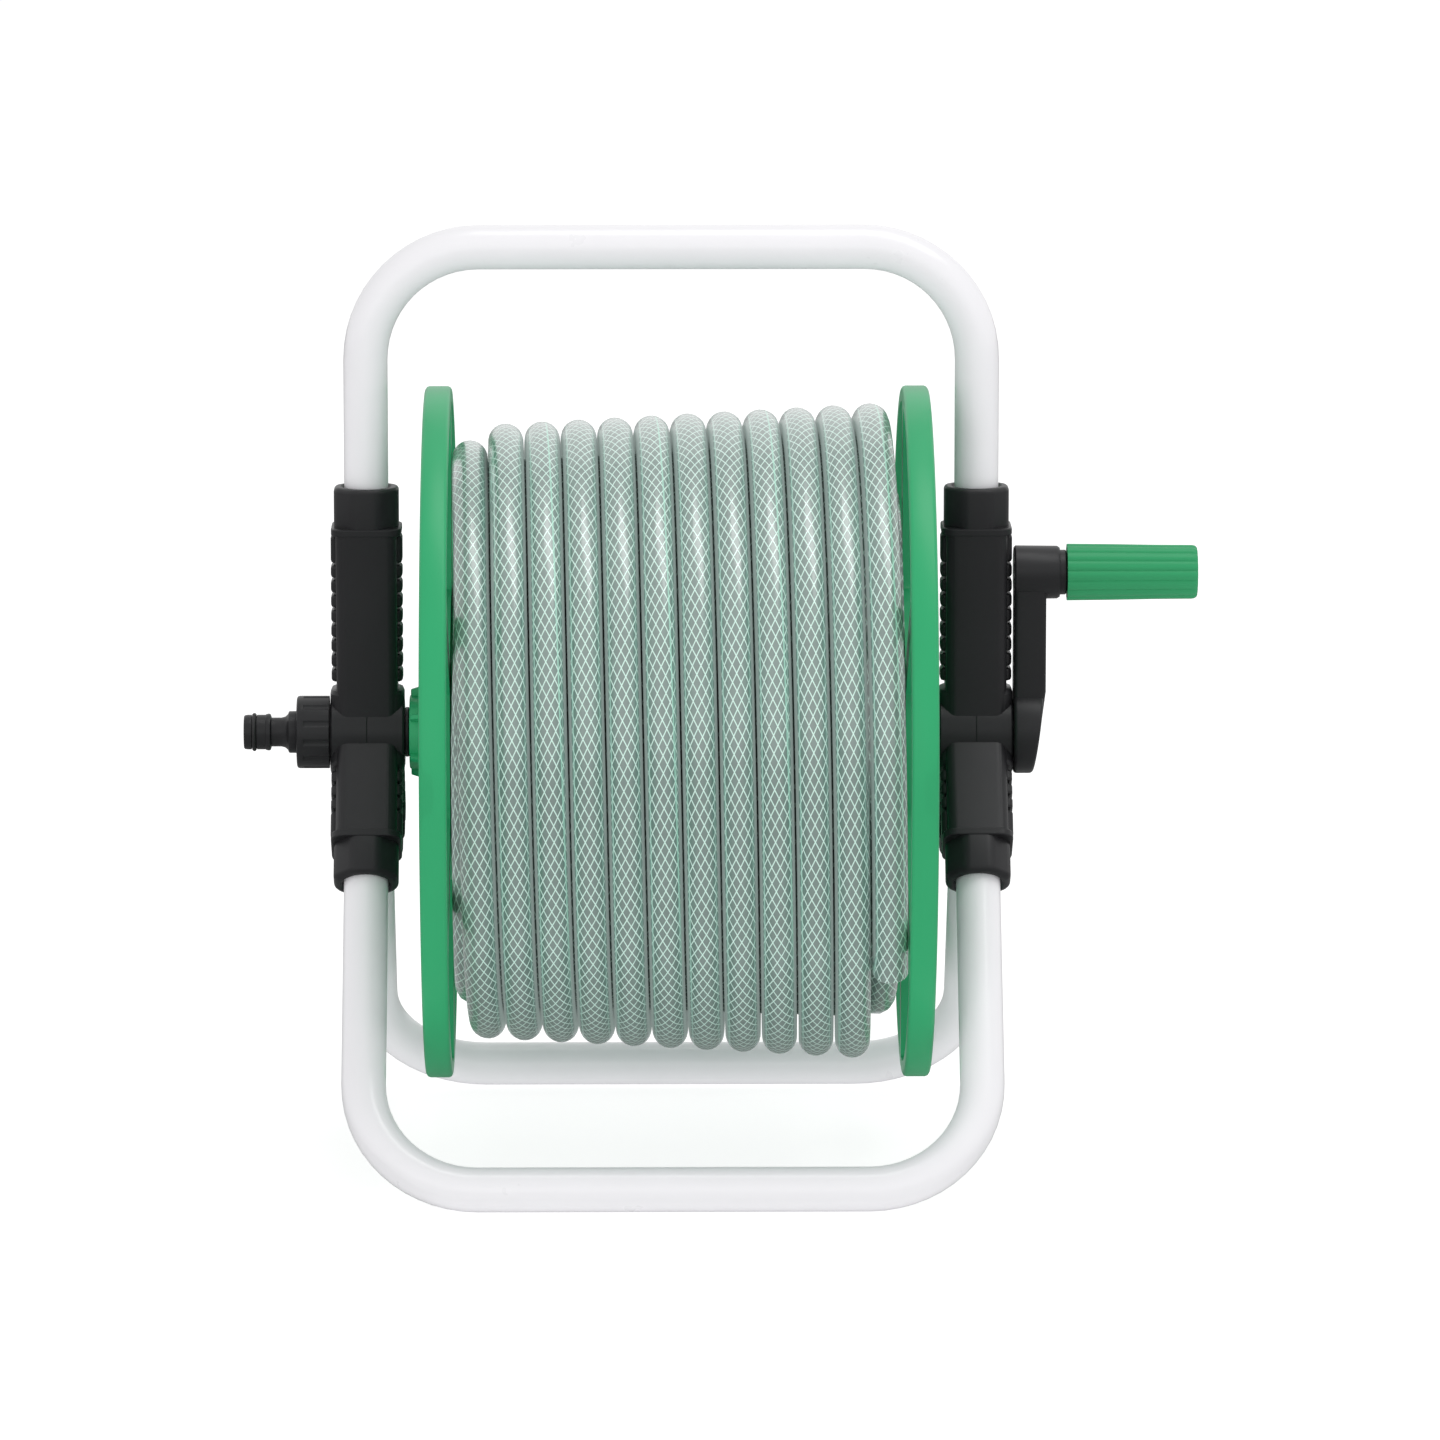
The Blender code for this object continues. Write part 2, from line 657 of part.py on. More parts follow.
def drum_barrel(parent):
    """The barrel that the hose winds on, with its screw bosses and the hose hole."""
    outer = BARREL_OD / 2
    shell = sleeve(BARREL_LEFT, BARREL_RIGHT, outer - BARREL_WALL, outer, RIM_SIDES)
    bosses = []
    holes = []
    for angle in drum_screw_angles():
        boss = rod(BARREL_LEFT, BARREL_RIGHT, SCREW_BOSS_OD / 2, BORE_SIDES)
        bosses.append(on_screw_circle(boss, angle))
        for end, inward in ((BARREL_LEFT, 1), (BARREL_RIGHT, -1)):
            tip = end + inward * (DRUM_SCREW_LENGTH + FIT)
            hole = rod(min(end - inward * FIT, tip), max(end - inward * FIT, tip),
                       DRUM_SCREW_SHANK / 2 + FIT, SCREW_SIDES)
            holes.append(on_screw_circle(hole, angle))
    lead_hole = along_z(rod(outer - 4 * BARREL_WALL, outer + BARREL_WALL,
                            HOSE_OD / 2 + FIT, SMALL_SIDES))
    holes.append(moved(lead_hole, Matrix.Translation((ELBOW_OUTLET_X, 0.0, 0.0))))
    body = combined(shell, bosses, "UNION")
    body = combined(body, holes, "DIFFERENCE")
    return keep("drum_barrel", body, "green_plastic", parent)


def drum_screws(parent):
    """The screws that hold both flanges to the barrel."""
    number = 1
    for web_inner, side in ((LEFT_WEB_INNER, -1), (RIGHT_WEB_INNER, 1)):
        seat = WEB_THICKNESS + FIT
        for angle in drum_screw_angles():
            screw = pan_screw(-DRUM_SCREW_LENGTH, seat, DRUM_SCREW_SHANK,
                              DRUM_SCREW_HEAD, DRUM_SCREW_HEAD_HEIGHT)
            if side < 0:
                screw = moved(screw, Matrix.Rotation(pi, 4, "Z"))
            screw = moved(screw, Matrix.Translation((web_inner, 0.0, 0.0)))
            keep(f"drum_screw_{number}", on_screw_circle(screw, angle), "zinc_steel", parent)
            number += 1


def inlet_spigot(parent):
    """The fixed hollow axle at the inlet: thread, shank, retainer groove and journal."""
    bore = SPIGOT_BORE / 2
    shank = SPIGOT_OD / 2
    journal = JOURNAL_OD / 2
    groove = shank - RETAINER_GROOVE
    profile = [
        (THREAD_END, bore),
        (THREAD_END, THREAD_OD / 2),
        (SPIGOT_SHOULDER, THREAD_OD / 2),
        (SPIGOT_SHOULDER, shank),
        (RETAINER_OUTER - FIT, shank),
        (RETAINER_OUTER - FIT, groove),
        (RETAINER_INNER + FIT / 2, groove),
        (RETAINER_INNER + FIT / 2, journal),
    ]
    for index in range(2):
        start = LEFT_BOSS_END + (index + 1) * SEAL_SPACING
        profile.append((start, journal))
        profile.append((start, journal - SEAL_DEPTH))
        profile.append((start + SEAL_WIDTH + 2 * FIT, journal - SEAL_DEPTH))
        profile.append((start + SEAL_WIDTH + 2 * FIT, journal))
    profile += [(JOURNAL_END, journal), (JOURNAL_END, bore)]
    keep("inlet_spigot", turned(profile, ROUND_SIDES), "black_plastic", parent)


def seal_ring(middle, bore, outer, width):
    """A rubber ring of six-sided section."""
    centre = (bore + outer) / 2
    half = (outer - bore) / 2
    profile = []
    for step in range(6):
        angle = 2 * pi * step / 6
        profile.append((middle + width / 2 * cos(angle), centre + half * sin(angle)))
    return turned(profile, ROUND_SIDES)


def inlet_seals(parent):
    """Rings and washers that keep the inlet tight, and the ring that keeps it in."""
    journal = JOURNAL_OD / 2
    for index in range(2):
        middle = LEFT_BOSS_END + (index + 1) * SEAL_SPACING + FIT + SEAL_WIDTH / 2
        ring = seal_ring(middle, journal - SEAL_DEPTH + FIT, journal, SEAL_WIDTH)
        keep(f"spigot_seal_{index + 1}", ring, "black_rubber", parent)
    retainer = sleeve(RETAINER_OUTER, RETAINER_INNER, SPIGOT_OD / 2 - RETAINER_GROOVE + FIT,
                      RETAINER_OD / 2, ROUND_SIDES)
    keep("spigot_retainer", retainer, "black_plastic", parent)
    washer = sleeve(WASHER_FAR, WASHER_NEAR, SPIGOT_BORE / 2 + WASHER_RELIEF,
                    THREAD_OD / 2, ROUND_SIDES)
    keep("inlet_washer", washer, "black_rubber", parent)
    tip_seal = INLET_TIP + NIPPLE_SEAL_INSET
    ring = seal_ring(tip_seal, NIPPLE_NECK_OD / 2 + FIT / 2, NIPPLE_RING_OD / 2, SEAL_WIDTH)
    keep("inlet_o_ring", ring, "black_rubber", parent)


def inlet_connector(parent):
    """The quick-coupling nipple with its ribbed skirt, screwed on the spigot."""
    bore = SPIGOT_BORE / 2
    head = NIPPLE_HEAD_OD / 2
    neck = NIPPLE_NECK_OD / 2
    seal = INLET_TIP + NIPPLE_SEAL_INSET
    half = SEAL_WIDTH / 2 + FIT
    ring_end = NECK_END - FIT
    collar = COLLAR_RING_OD / 2
    skirt = SKIRT_OD / 2
    cavity = THREAD_OD / 2 + FIT
    floor = WASHER_FAR - FIT
    profile = [
        (INLET_TIP, bore),
        (INLET_TIP, head - NIPPLE_CHAMFER),
        (INLET_TIP + NIPPLE_CHAMFER, head),
        (seal - half, head),
        (seal - half, neck - FIT / 2),
        (seal + half, neck - FIT / 2),
        (seal + half, head),
        (ring_end - NIPPLE_RING_WIDTH, head),
        (ring_end - NIPPLE_RING_WIDTH, NIPPLE_RING_OD / 2 - FIT),
        (ring_end, NIPPLE_RING_OD / 2 - FIT),
        (NECK_END, neck),
        (COLLAR_RING_END - NIPPLE_CHAMFER, neck),
        (COLLAR_RING_END, collar),
        (SKIRT_CLOSED, collar),
        (SKIRT_CLOSED, skirt - SKIRT_FLOOR),
        (SKIRT_CLOSED + SKIRT_FLOOR, skirt),
        (SKIRT_OPEN, skirt),
        (SKIRT_OPEN, cavity),
        (floor, cavity),
        (floor, bore),
    ]
    body = turned(profile, HUB_SIDES, ripple=SKIRT_RIB_DEPTH, rippled=(15, 16))
    keep("inlet_connector", body, "black_plastic", parent)


def water_elbow(parent):
    """The socket that turns on the spigot and leads water to the hose tail."""
    end = LEFT_BOSS_END + ELBOW_LENGTH
    shoulder = LEFT_WEB_INNER + FIT
    profile = [
        (LEFT_BOSS_END, 0.0),
        (LEFT_BOSS_END, ELBOW_OD / 2),
        (shoulder, ELBOW_OD / 2),
        (shoulder, ELBOW_SHOULDER_OD / 2),
        (shoulder + ELBOW_SHOULDER_THICKNESS, ELBOW_SHOULDER_OD / 2),
        (shoulder + ELBOW_SHOULDER_THICKNESS, ELBOW_OD / 2),
        (end, ELBOW_OD / 2),
        (end, 0.0),
    ]
    body = turned(profile, ROUND_SIDES, closed=False)
    barb = moved(along_z(rod(0.0, BARB_REACH, BARB_OD / 2, BORE_SIDES)),
                 Matrix.Translation((ELBOW_OUTLET_X, 0.0, 0.0)))
    socket = rod(LEFT_BOSS_END - FIT, JOURNAL_END + FIT, JOURNAL_OD / 2 + FIT, ROUND_SIDES)
    chamber = rod(JOURNAL_END - FIT, ELBOW_OUTLET_X + BARB_BORE / 2, SPIGOT_BORE / 2, BORE_SIDES)
    outlet = moved(along_z(rod(0.0, BARB_REACH + FIT, BARB_BORE / 2, BORE_SIDES)),
                   Matrix.Translation((ELBOW_OUTLET_X, 0.0, 0.0)))
    body = combined(body, [barb], "UNION")
    body = combined(body, [socket, chamber, outlet], "DIFFERENCE")
    keep("water_elbow", body, "black_plastic", parent)


def hose_tail(parent):
    """The hose's inner end on the barb, with its clamp."""
    place = Matrix.Translation((ELBOW_OUTLET_X, 0.0, 0.0))
    outer = HOSE_OD / 2
    core_bore = BARREL_OD / 2 + FIT
    end = sqrt((core_bore - FIT) ** 2 - outer ** 2) - FIT
    lead = along_z(sleeve(LEAD_START, end, HOSE_BORE / 2, outer, SMALL_SIDES))
    keep("hose_lead", moved(lead, place), "clear_hose", parent)
    start = LEAD_START + CLAMP_INSET
    clamp = along_z(sleeve(start, start + CLAMP_WIDTH, outer + FIT, outer + FIT + CLAMP_WALL,
                           SMALL_SIDES))
    keep("hose_clamp", moved(clamp, place), "zinc_steel", parent)


def winding_point(angle):
    """Centre of the outer layer of hose at a winding angle, 0 at the top, then forwards.

    The first turn rises out of the layer below, against the left flange.
    """
    share = max(angle, 0.0) / WINDING_END
    x = WINDING_LEFT + (WINDING_RIGHT - WINDING_LEFT) * share
    radius = WINDING_RADIUS_LEFT + (WINDING_RADIUS_RIGHT - WINDING_RADIUS_LEFT) * share
    if angle < WINDING_CLIMB_END:
        climb = (angle - WINDING_START) / (WINDING_CLIMB_END - WINDING_START)
        ease = climb * climb * (3 - 2 * climb)
        radius -= LAYER_STEP * (1 - ease)
    return Vector((x, -radius * sin(angle), radius * cos(angle)))


def winding_points():
    """Points along the outer layer, with a straight end of one hose diameter each way."""
    loops = (WINDING_END - WINDING_START) / (2 * pi)
    count = ceil(loops * POINTS_PER_LOOP)
    angles = [WINDING_START + (WINDING_END - WINDING_START) * i / count for i in range(count + 1)]
    points = [winding_point(angle) for angle in angles]
    first = (points[0] - points[1]).normalized()
    last = (points[-1] - points[-2]).normalized()
    return [points[0] + first * HOSE_OD, *points, points[-1] + last * HOSE_OD]


def least_gap(points):
    """Least clear distance between one turn of the hose and the next, on its points."""
    place = np.array([tuple(point) for point in points])
    apart = POINTS_PER_LOOP // 2
    least = 1.0
    for index in range(len(place) - apart):
        distance = np.linalg.norm(place[index + apart:] - place[index], axis=1)
        least = min(least, float(distance.min()))
    return least - HOSE_OD


def hose_outer_layer(parent):
    """The outer layer of turns, one unbroken tube."""
    points = winding_points()
    curve = bpy.data.curves.new("hose_outer_layer", "CURVE")
    curve.dimensions = "3D"
    curve.bevel_depth = HOSE_OD / 2
    curve.bevel_resolution = 1
    curve.use_fill_caps = True
    spline = curve.splines.new("POLY")
    spline.points.add(len(points) - 1)
    for slot, point in zip(spline.points, points):
        slot.co = (*point, 1.0)
    add_object("hose_outer_layer", curve, "clear_hose", parent)
    length = sum((far - near).length for near, far in zip(points, points[1:]))
    print(f"outer layer: {length:.2f} m of hose, least gap {1000 * least_gap(points):.2f} mm")
    return length


def layer_ends(end, outward, bore, outer, count):
    """Outline of the end turns of the layers, as half rounds from bore to outer."""
    half = (outer - bore) / (2 * count)
    valley = end - outward * half * cos(TURN_FLANK)
    outline = [(valley, bore)]
    for layer in range(count):
        centre = bore + (2 * layer + 1) * half
        for swing in (-half, half):
            outline.append((end, centre + swing * sin(TURN_FLANK)))
        outline.append((valley, centre + half))
    return outline


def hose_inner_layers(parent):
    """The layers under the outer one, as one turned body with room for the first turn."""
    bore = BARREL_OD / 2 + FIT
    chord = cos(pi / POINTS_PER_LOOP)
    under = HOSE_OD / 2 + FIT
    grow = 1.0 / cos(pi / LAYER_SIDES)
    left = (WINDING_RADIUS_LEFT * chord - under) / grow
    right = (WINDING_RADIUS_RIGHT * chord - under) / grow
    pocket = ((WINDING_RADIUS_LEFT - LAYER_STEP) * chord - under) / grow
    clear_x = winding_point(WINDING_CLIMB_END).x + HOSE_OD / 2 + FIT
    profile = layer_ends(BARREL_LEFT, -1, bore, pocket, LAYER_COUNT - 2)
    profile += [(clear_x, pocket), (clear_x, left)]
    profile += reversed(layer_ends(BARREL_RIGHT, 1, bore, right, LAYER_COUNT - 1))
    keep("hose_inner_layers", turned(profile, LAYER_SIDES), "clear_hose", parent)
    turns = (BARREL_RIGHT - BARREL_LEFT) / (HOSE_OD + TURN_GAP)
    middle = WINDING_RADIUS - LAYER_COUNT / 2 * LAYER_STEP
    return (LAYER_COUNT - 1) * turns * 2 * pi * middle


def crank_shaft(parent):
    """The shaft that carries the crank side of the drum, square at both ends."""
    half = SHAFT_SQUARE / 2
    round_start = RIGHT_BOSS_END
    body = rod(round_start, CRANK_INNER - FIT, SHAFT_OD / 2, ROUND_SIDES)
    drives = [
        block((SHAFT_INNER_END, -half, -half), (round_start + SHAFT_OD / 2, half, half)),
        block((CRANK_INNER - SHAFT_OD / 2, -half, -half), (SHAFT_OUTER_END, half, half)),
    ]
    hole = CRANK_SCREW_SHANK / 2 + FIT
    holes = [
        rod(SHAFT_INNER_END - FIT, SHAFT_INNER_END + CRANK_SCREW_LENGTH + FIT, hole, BORE_SIDES),
        rod(SHAFT_OUTER_END - CRANK_SCREW_LENGTH, SHAFT_OUTER_END + FIT, hole, BORE_SIDES),
    ]
    body = combined(body, drives, "UNION")
    keep("crank_shaft", combined(body, holes, "DIFFERENCE"), "zinc_steel", parent)
    screw = pan_screw(-(SHAFT_INNER_END + CRANK_SCREW_LENGTH), -SHAFT_INNER_END + FIT,
                      CRANK_SCREW_SHANK, SHAFT_SCREW_HEAD, SHAFT_SCREW_HEAD_HEIGHT, SMALL_SIDES)
    keep("shaft_screw", moved(screw, Matrix.Rotation(pi, 4, "Z")), "zinc_steel", parent)


def right_bush(parent):
    """The plain bearing of the shaft in the right bracket."""
    bore = SHAFT_OD / 2 + RUNNING_GAP
    outer = BUSH_OD / 2
    profile = [
        (BUSH_LIP_INNER, bore),
        (BUSH_LIP_INNER, BUSH_LIP_OD / 2),
        (BUSH_LIP_OUTER, BUSH_LIP_OD / 2),
        (BUSH_LIP_OUTER, outer),
        (HUB_OUTER, outer),
        (HUB_OUTER, bore),
    ]
    keep("right_bush", turned(profile, ROUND_SIDES), "white_plastic", parent)


def arm_outline():
    """Outline of the crank arm: two round ends joined by their common tangents."""
    big = CRANK_DISC_OD / 2
    small = CRANK_BOSS_OD / 2
    lean = asin((big - small) / CRANK_RADIUS)
    outline = []
    steps = BORE_SIDES
    for centre, radius, start, end in (
        (0.0, big, pi - lean, 2 * pi + lean),
        (CRANK_RADIUS, small, lean, pi - lean),
    ):
        for step in range(steps + 1):
            angle = start + (end - start) * step / steps
            outline.append((radius * cos(angle), centre + radius * sin(angle)))
    return outline


def crank_slope():
    """The cutter that slopes the face of the crank's disc, thinner away from the grip."""
    reach = CRANK_DISC_OD / 2 + CRANK_FLOOR
    beyond = CRANK_OUTER + CRANK_FLOOR
    outline = [
        (CRANK_FACE + CRANK_SLOPE * reach, reach),
        (CRANK_FACE - CRANK_SLOPE * reach, -reach),
        (beyond, -reach),
        (beyond, reach),
    ]
    return extruded([(x, -reach, z) for x, z in outline], (0.0, 2 * reach, 0.0))


def crank_arm(parent):
    """The crank: a plate arm with the shaft seat at one end and the grip boss at the other."""
    plate = prism(arm_outline(), CRANK_INNER, CRANK_OUTER)
    profile = [
        (CRANK_OUTER - CRANK_FLOOR, 0.0),
        (CRANK_OUTER - CRANK_FLOOR, CRANK_BOSS_OD / 2 - FIT),
        (CRANK_BOSS_END, CRANK_BOSS_OD / 2 - FIT),
        (CRANK_BOSS_END, CRANK_NECK_OD / 2),
        (CRANK_NECK_END, CRANK_NECK_OD / 2),
        (CRANK_NECK_END, 0.0),
    ]
    lift = Matrix.Translation((0.0, 0.0, CRANK_RADIUS))
    boss = moved(turned(profile, HUB_SIDES, closed=False), lift)
    half = SHAFT_SQUARE / 2 + FIT
    holes = [
        block((CRANK_INNER - FIT, -half, -half), (SHAFT_OUTER_END + FIT, half, half)),
        rod(CRANK_INNER, CRANK_OUTER + FIT, CRANK_SCREW_SHANK / 2 + FIT, BORE_SIDES),
        rod(CRANK_SEAT - FIT, CRANK_OUTER + FIT, CRANK_SCREW_HEAD / 2 + FIT, SMALL_SIDES),
        moved(rod(PIN_START - FIT, CRANK_NECK_END + FIT, PIN_OD / 2 + FIT, SMALL_SIDES), lift),
    ]
    body = combined(plate, [boss], "UNION")
    body = combined(body, [crank_slope()], "DIFFERENCE")
    keep("crank_arm", combined(body, holes, "DIFFERENCE"), "black_plastic", parent)
    screw = pan_screw(CRANK_SEAT - CRANK_SCREW_LENGTH, CRANK_SEAT, CRANK_SCREW_SHANK,
                      CRANK_SCREW_HEAD, CRANK_SCREW_HEAD_HEIGHT, SMALL_SIDES)
    keep("crank_screw", screw, "zinc_steel", parent)


def grip_pin(parent):
    """The pin that the grip turns on, fixed in the crank's boss."""
    profile = [
        (PIN_START, 0.0),
        (PIN_START, PIN_OD / 2),
        (PIN_HEAD_INNER, PIN_OD / 2),
        (PIN_HEAD_INNER, PIN_HEAD_OD / 2),
        (PIN_HEAD_INNER + PIN_HEAD_HEIGHT, PIN_HEAD_OD / 2),
        (PIN_HEAD_INNER + PIN_HEAD_HEIGHT, 0.0),
    ]
    pin = turned(profile, SMALL_SIDES, closed=False)
    keep("grip_pin", moved(pin, Matrix.Translation((0.0, 0.0, CRANK_RADIUS))), "zinc_steel", parent)


def crank_grip(parent):
    """The turning grip: fluted, with a recess over the pin's head."""
    bore = PIN_OD / 2 + RUNNING_GAP
    recess = GRIP_END - GRIP_RECESS_DEPTH
    profile = [
        (GRIP_START, bore),
        (GRIP_START, GRIP_ROOT_OD / 2),
        (GRIP_END - GRIP_EDGE, GRIP_TIP_OD / 2),
        (GRIP_END, GRIP_TIP_OD / 2 - GRIP_EDGE),
        (GRIP_END, GRIP_RECESS_OD / 2),
        (recess, GRIP_RECESS_OD / 2),
        (recess, bore),
    ]
    body = turned(profile, 2 * GRIP_FLUTES, ripple=GRIP_FLUTE_DEPTH, rippled=(1, 2))
    keep("crank_grip", body, "grip_green", parent)


def axis_empty(name, place, parent=None):
    """An empty on a joint axis."""
    empty = bpy.data.objects.new(name, None)
    bpy.context.scene.collection.objects.link(empty)
    empty.location = place
    empty.parent = parent
    return empty


def build():
    """Make the whole reel."""
    clear_scene()
    stand = axis_empty("stand_centre", (CENTRE_SHIFT, 0.0, AXLE_HEIGHT))
    drum = axis_empty("drum_axis", (0.0, 0.0, 0.0), stand)
    grip = axis_empty("grip_axis", (0.0, 0.0, CRANK_RADIUS), drum)

    stand_tube("handle_tube", 0.0, HANDLE_REACH, UPPER_ARM_REACH, stand)
    stand_tube("front_leg_tube", pi - LEG_SPLAY, LEG_REACH, LOWER_ARM_REACH, stand)
    stand_tube("rear_leg_tube", pi + LEG_SPLAY, LEG_REACH, LOWER_ARM_REACH, stand)
    bracket("left_bracket", -1, SPIGOT_OD / 2 + FIT, stand)
    bracket("right_bracket", 1, BUSH_OD / 2 + FIT, stand)
    tube_screws(stand)
    inlet_spigot(stand)
    inlet_seals(stand)
    inlet_connector(stand)
    right_bush(stand)

    low = LEFT_BOSS_END - FIT
    left_bore = rod(low, LEFT_WEB_INNER + FIT, ELBOW_OD / 2 + FIT, HUB_SIDES)
    flange("left_flange", LEFT_WEB_INNER, -1, LEFT_BOSS_END, left_bore, drum)
    half = SHAFT_SQUARE / 2 + FIT
    right_bore = block((RIGHT_WEB_INNER - FIT, -half, -half), (RIGHT_BOSS_END + FIT, half, half))
    flange("right_flange", RIGHT_WEB_INNER, 1, RIGHT_BOSS_END, right_bore, drum)
    drum_barrel(drum)
    drum_screws(drum)
    water_elbow(drum)
    hose_tail(drum)
    outer_length = hose_outer_layer(drum)
    inner_length = hose_inner_layers(drum)
    print(f"hose on the drum: about {outer_length + inner_length:.0f} m")
    crank_shaft(drum)
    crank_arm(drum)
    grip_pin(drum)
    crank_grip(grip)


build()
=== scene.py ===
# %% [markdown]
# # A freestanding hose reel
# The reel is a stand of three bent tubes in two black brackets, with a green open drum
# between them that a crank turns. The CAD model already fixes every size and every
# joint. This script loads it as a frame and dresses it: each piece that shows gets a
# finer shape in the same place, and every piece gets a material.

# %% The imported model
import json
from math import asin, ceil, cos, pi, radians, sin

import bmesh
import bpy
from bmesh.types import BMEdge, BMVert
from mathutils import Matrix, Vector


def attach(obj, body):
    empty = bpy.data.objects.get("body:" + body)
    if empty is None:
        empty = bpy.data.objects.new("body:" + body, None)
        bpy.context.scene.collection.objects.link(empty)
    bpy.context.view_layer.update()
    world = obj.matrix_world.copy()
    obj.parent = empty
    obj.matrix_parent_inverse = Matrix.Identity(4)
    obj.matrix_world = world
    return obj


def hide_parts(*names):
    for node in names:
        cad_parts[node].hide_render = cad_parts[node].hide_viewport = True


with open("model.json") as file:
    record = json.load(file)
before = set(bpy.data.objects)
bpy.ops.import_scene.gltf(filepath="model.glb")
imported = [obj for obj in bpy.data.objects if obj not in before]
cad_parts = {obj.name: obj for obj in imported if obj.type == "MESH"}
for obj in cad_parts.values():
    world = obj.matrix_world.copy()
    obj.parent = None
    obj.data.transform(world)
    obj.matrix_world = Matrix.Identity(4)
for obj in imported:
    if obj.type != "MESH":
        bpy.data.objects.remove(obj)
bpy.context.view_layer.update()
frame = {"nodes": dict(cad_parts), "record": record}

# %% [markdown]
# ## One set of axes for every piece
# The real reel is built round its axle, so its sizes are easiest to read from there:
# +X along the axle to the crank, +Z up, -Y to the viewer. Every piece is drawn about
# the axle centre and its mesh is then shifted once, by the place of the drum's joint,
# so the finished object itself sits at the origin.

# %% Axle centre
mm = 0.001
joint_places = {joint["name"]: joint["pos_m"] for joint in frame["record"]["behaviour"]["joints"]}
axle = Vector(joint_places["drum_spin"])
to_axle = Matrix.Translation(axle)
print("axle centre:", tuple(axle))

# %% [markdown]
# ## Small helpers
# Objects, meshes, materials and shader nodes are made many times below. A node is made
# with all that feeds it: each of its sockets takes either a plain value or the output of
# another node. So a finish reads as a list of what it is made of.

# %% Objects and meshes
def linked(name, data):
    """A new object with its data, in the scene."""
    thing = bpy.data.objects.new(name, data)
    bpy.context.scene.collection.objects.link(thing)
    return thing


def mesh_of(name, bm):
    """A new mesh that takes over a bmesh."""
    mesh = bpy.data.meshes.new(name)
    bm.to_mesh(mesh)
    bm.free()
    return mesh


# %% Materials and nodes
def new_material(name):
    """A material, its node tree and its Principled shader."""
    material = bpy.data.materials.new(name)
    material.use_nodes = True
    return material, material.node_tree, material.node_tree.nodes["Principled BSDF"]


def feed(tree, node, values):
    """Give sockets of a node, by name or number, a plain value or another node's output."""
    for label, value in values.items():
        if isinstance(value, bpy.types.NodeSocket):
            tree.links.new(value, node.inputs[label])
        else:
            node.inputs[label].default_value = value


def add_node(tree, kind, values, **settings):
    """A new shader node with its settings made and its sockets fed."""
    node = tree.nodes.new("ShaderNode" + kind)
    for label, setting in settings.items():
        setattr(node, label, setting)
    feed(tree, node, values)
    return node


def maths(tree, operation, first, second=0.0):
    """The result of a Math node."""
    return add_node(tree, "Math", {0: first, 1: second}, operation=operation).outputs[0]


# %% [markdown]
# ## Camera
# The photograph looks along the level of the axle from a little above, with a long
# lens, so the far foot bar shows above the near one. A camera on a circle round the
# middle of the reel needs only a distance, a height angle and a focal length.

# %% Camera
camera_distance = 4.1
camera_elevation = radians(10.0)
camera_azimuth = radians(-0.6)
aim = Vector((0.0, 0.0, 0.198))
camera_data = bpy.data.cameras.new("studio_camera")
camera_data.lens = 225.5
camera_data.sensor_width = 36.0
camera_data.clip_end = 60.0
camera = linked("studio_camera", camera_data)
away = Vector((sin(camera_azimuth) * cos(camera_elevation),
               -cos(camera_azimuth) * cos(camera_elevation), sin(camera_elevation)))
camera.location = aim + camera_distance * away
camera.rotation_euler = (-away).to_track_quat("-Z", "Y").to_euler()
bpy.context.scene.camera = camera
bpy.context.scene.view_settings.view_transform = "Standard"
print("camera at", tuple(round(value, 3) for value in camera.location))

# %% [markdown]
# ## Studio
# The reel stands in front of plain white. The world is white where it is seen or mirrored
# and calmer where it lights the reel, so that white tubes still show their roundness. A wide
# lamp near the viewer fills the fronts, a long soft one hung high on the right draws
# the pale streak down each turn of the hose, and one behind lights the backs.

# %% World
white = (1.0, 1.0, 1.0, 1.0)


def make_world(seen, lighting):
    """A world that is white to the camera and in gloss, and weaker where it lights."""
    world = bpy.data.worlds.new("studio_world")
    world.use_nodes = True
    tree = world.node_tree
    path = add_node(tree, "LightPath", {})
    blend = add_node(tree, "Mix", {"Factor": path.outputs["Is Diffuse Ray"], "A": seen,
                                   "B": lighting})
    feed(tree, tree.nodes["Background"], {"Color": white, "Strength": blend.outputs["Result"]})
    bpy.context.scene.world = world


make_world(seen=1.0, lighting=0.60)
print("world:", bpy.context.scene.world.name)


# %% Lamps
def soft_lamp(name, place, width, length, brightness, shines=True):
    """A flat lamp of even brightness that faces the reel; it may be kept out of the gloss."""
    data = bpy.data.lights.new(name, "AREA")
    data.shape = "RECTANGLE"
    data.size = width
    data.size_y = length
    data.energy = brightness * pi * width * length
    lamp = linked(name, data)
    lamp.location = place
    lamp.rotation_euler = (aim - lamp.location).to_track_quat("-Z", "Y").to_euler()
    lamp.visible_glossy = shines


def from_aim(azimuth, elevation, distance):
    """A place seen from the middle of the reel, 0 degrees at the viewer and 90 at the crank."""
    turn, lift = radians(azimuth), radians(elevation)
    return aim + distance * Vector((sin(turn) * cos(lift), -cos(turn) * cos(lift), sin(lift)))


soft_lamp("front_lamp", from_aim(-12.0, 9.0, 3.6), width=2.8, length=1.6, brightness=1.7,
          shines=False)
soft_lamp("overhead_lamp", from_aim(66.0, 72.0, 2.6), width=1.2, length=2.3, brightness=2.75)
soft_lamp("back_lamp", from_aim(165.0, 30.0, 2.8), width=1.8, length=1.8, brightness=1.0,
          shines=False)
print("lamps:", ", ".join(light.name for light in bpy.data.lights))

# %% [markdown]
# ## Floor
# The floor is a big plane. A part of what it shows is its own glow and the rest is
# reflected light, so it reads as white and still keeps the soft shadow under the feet.
# The glow also lights the reel from below, as a white studio floor does.

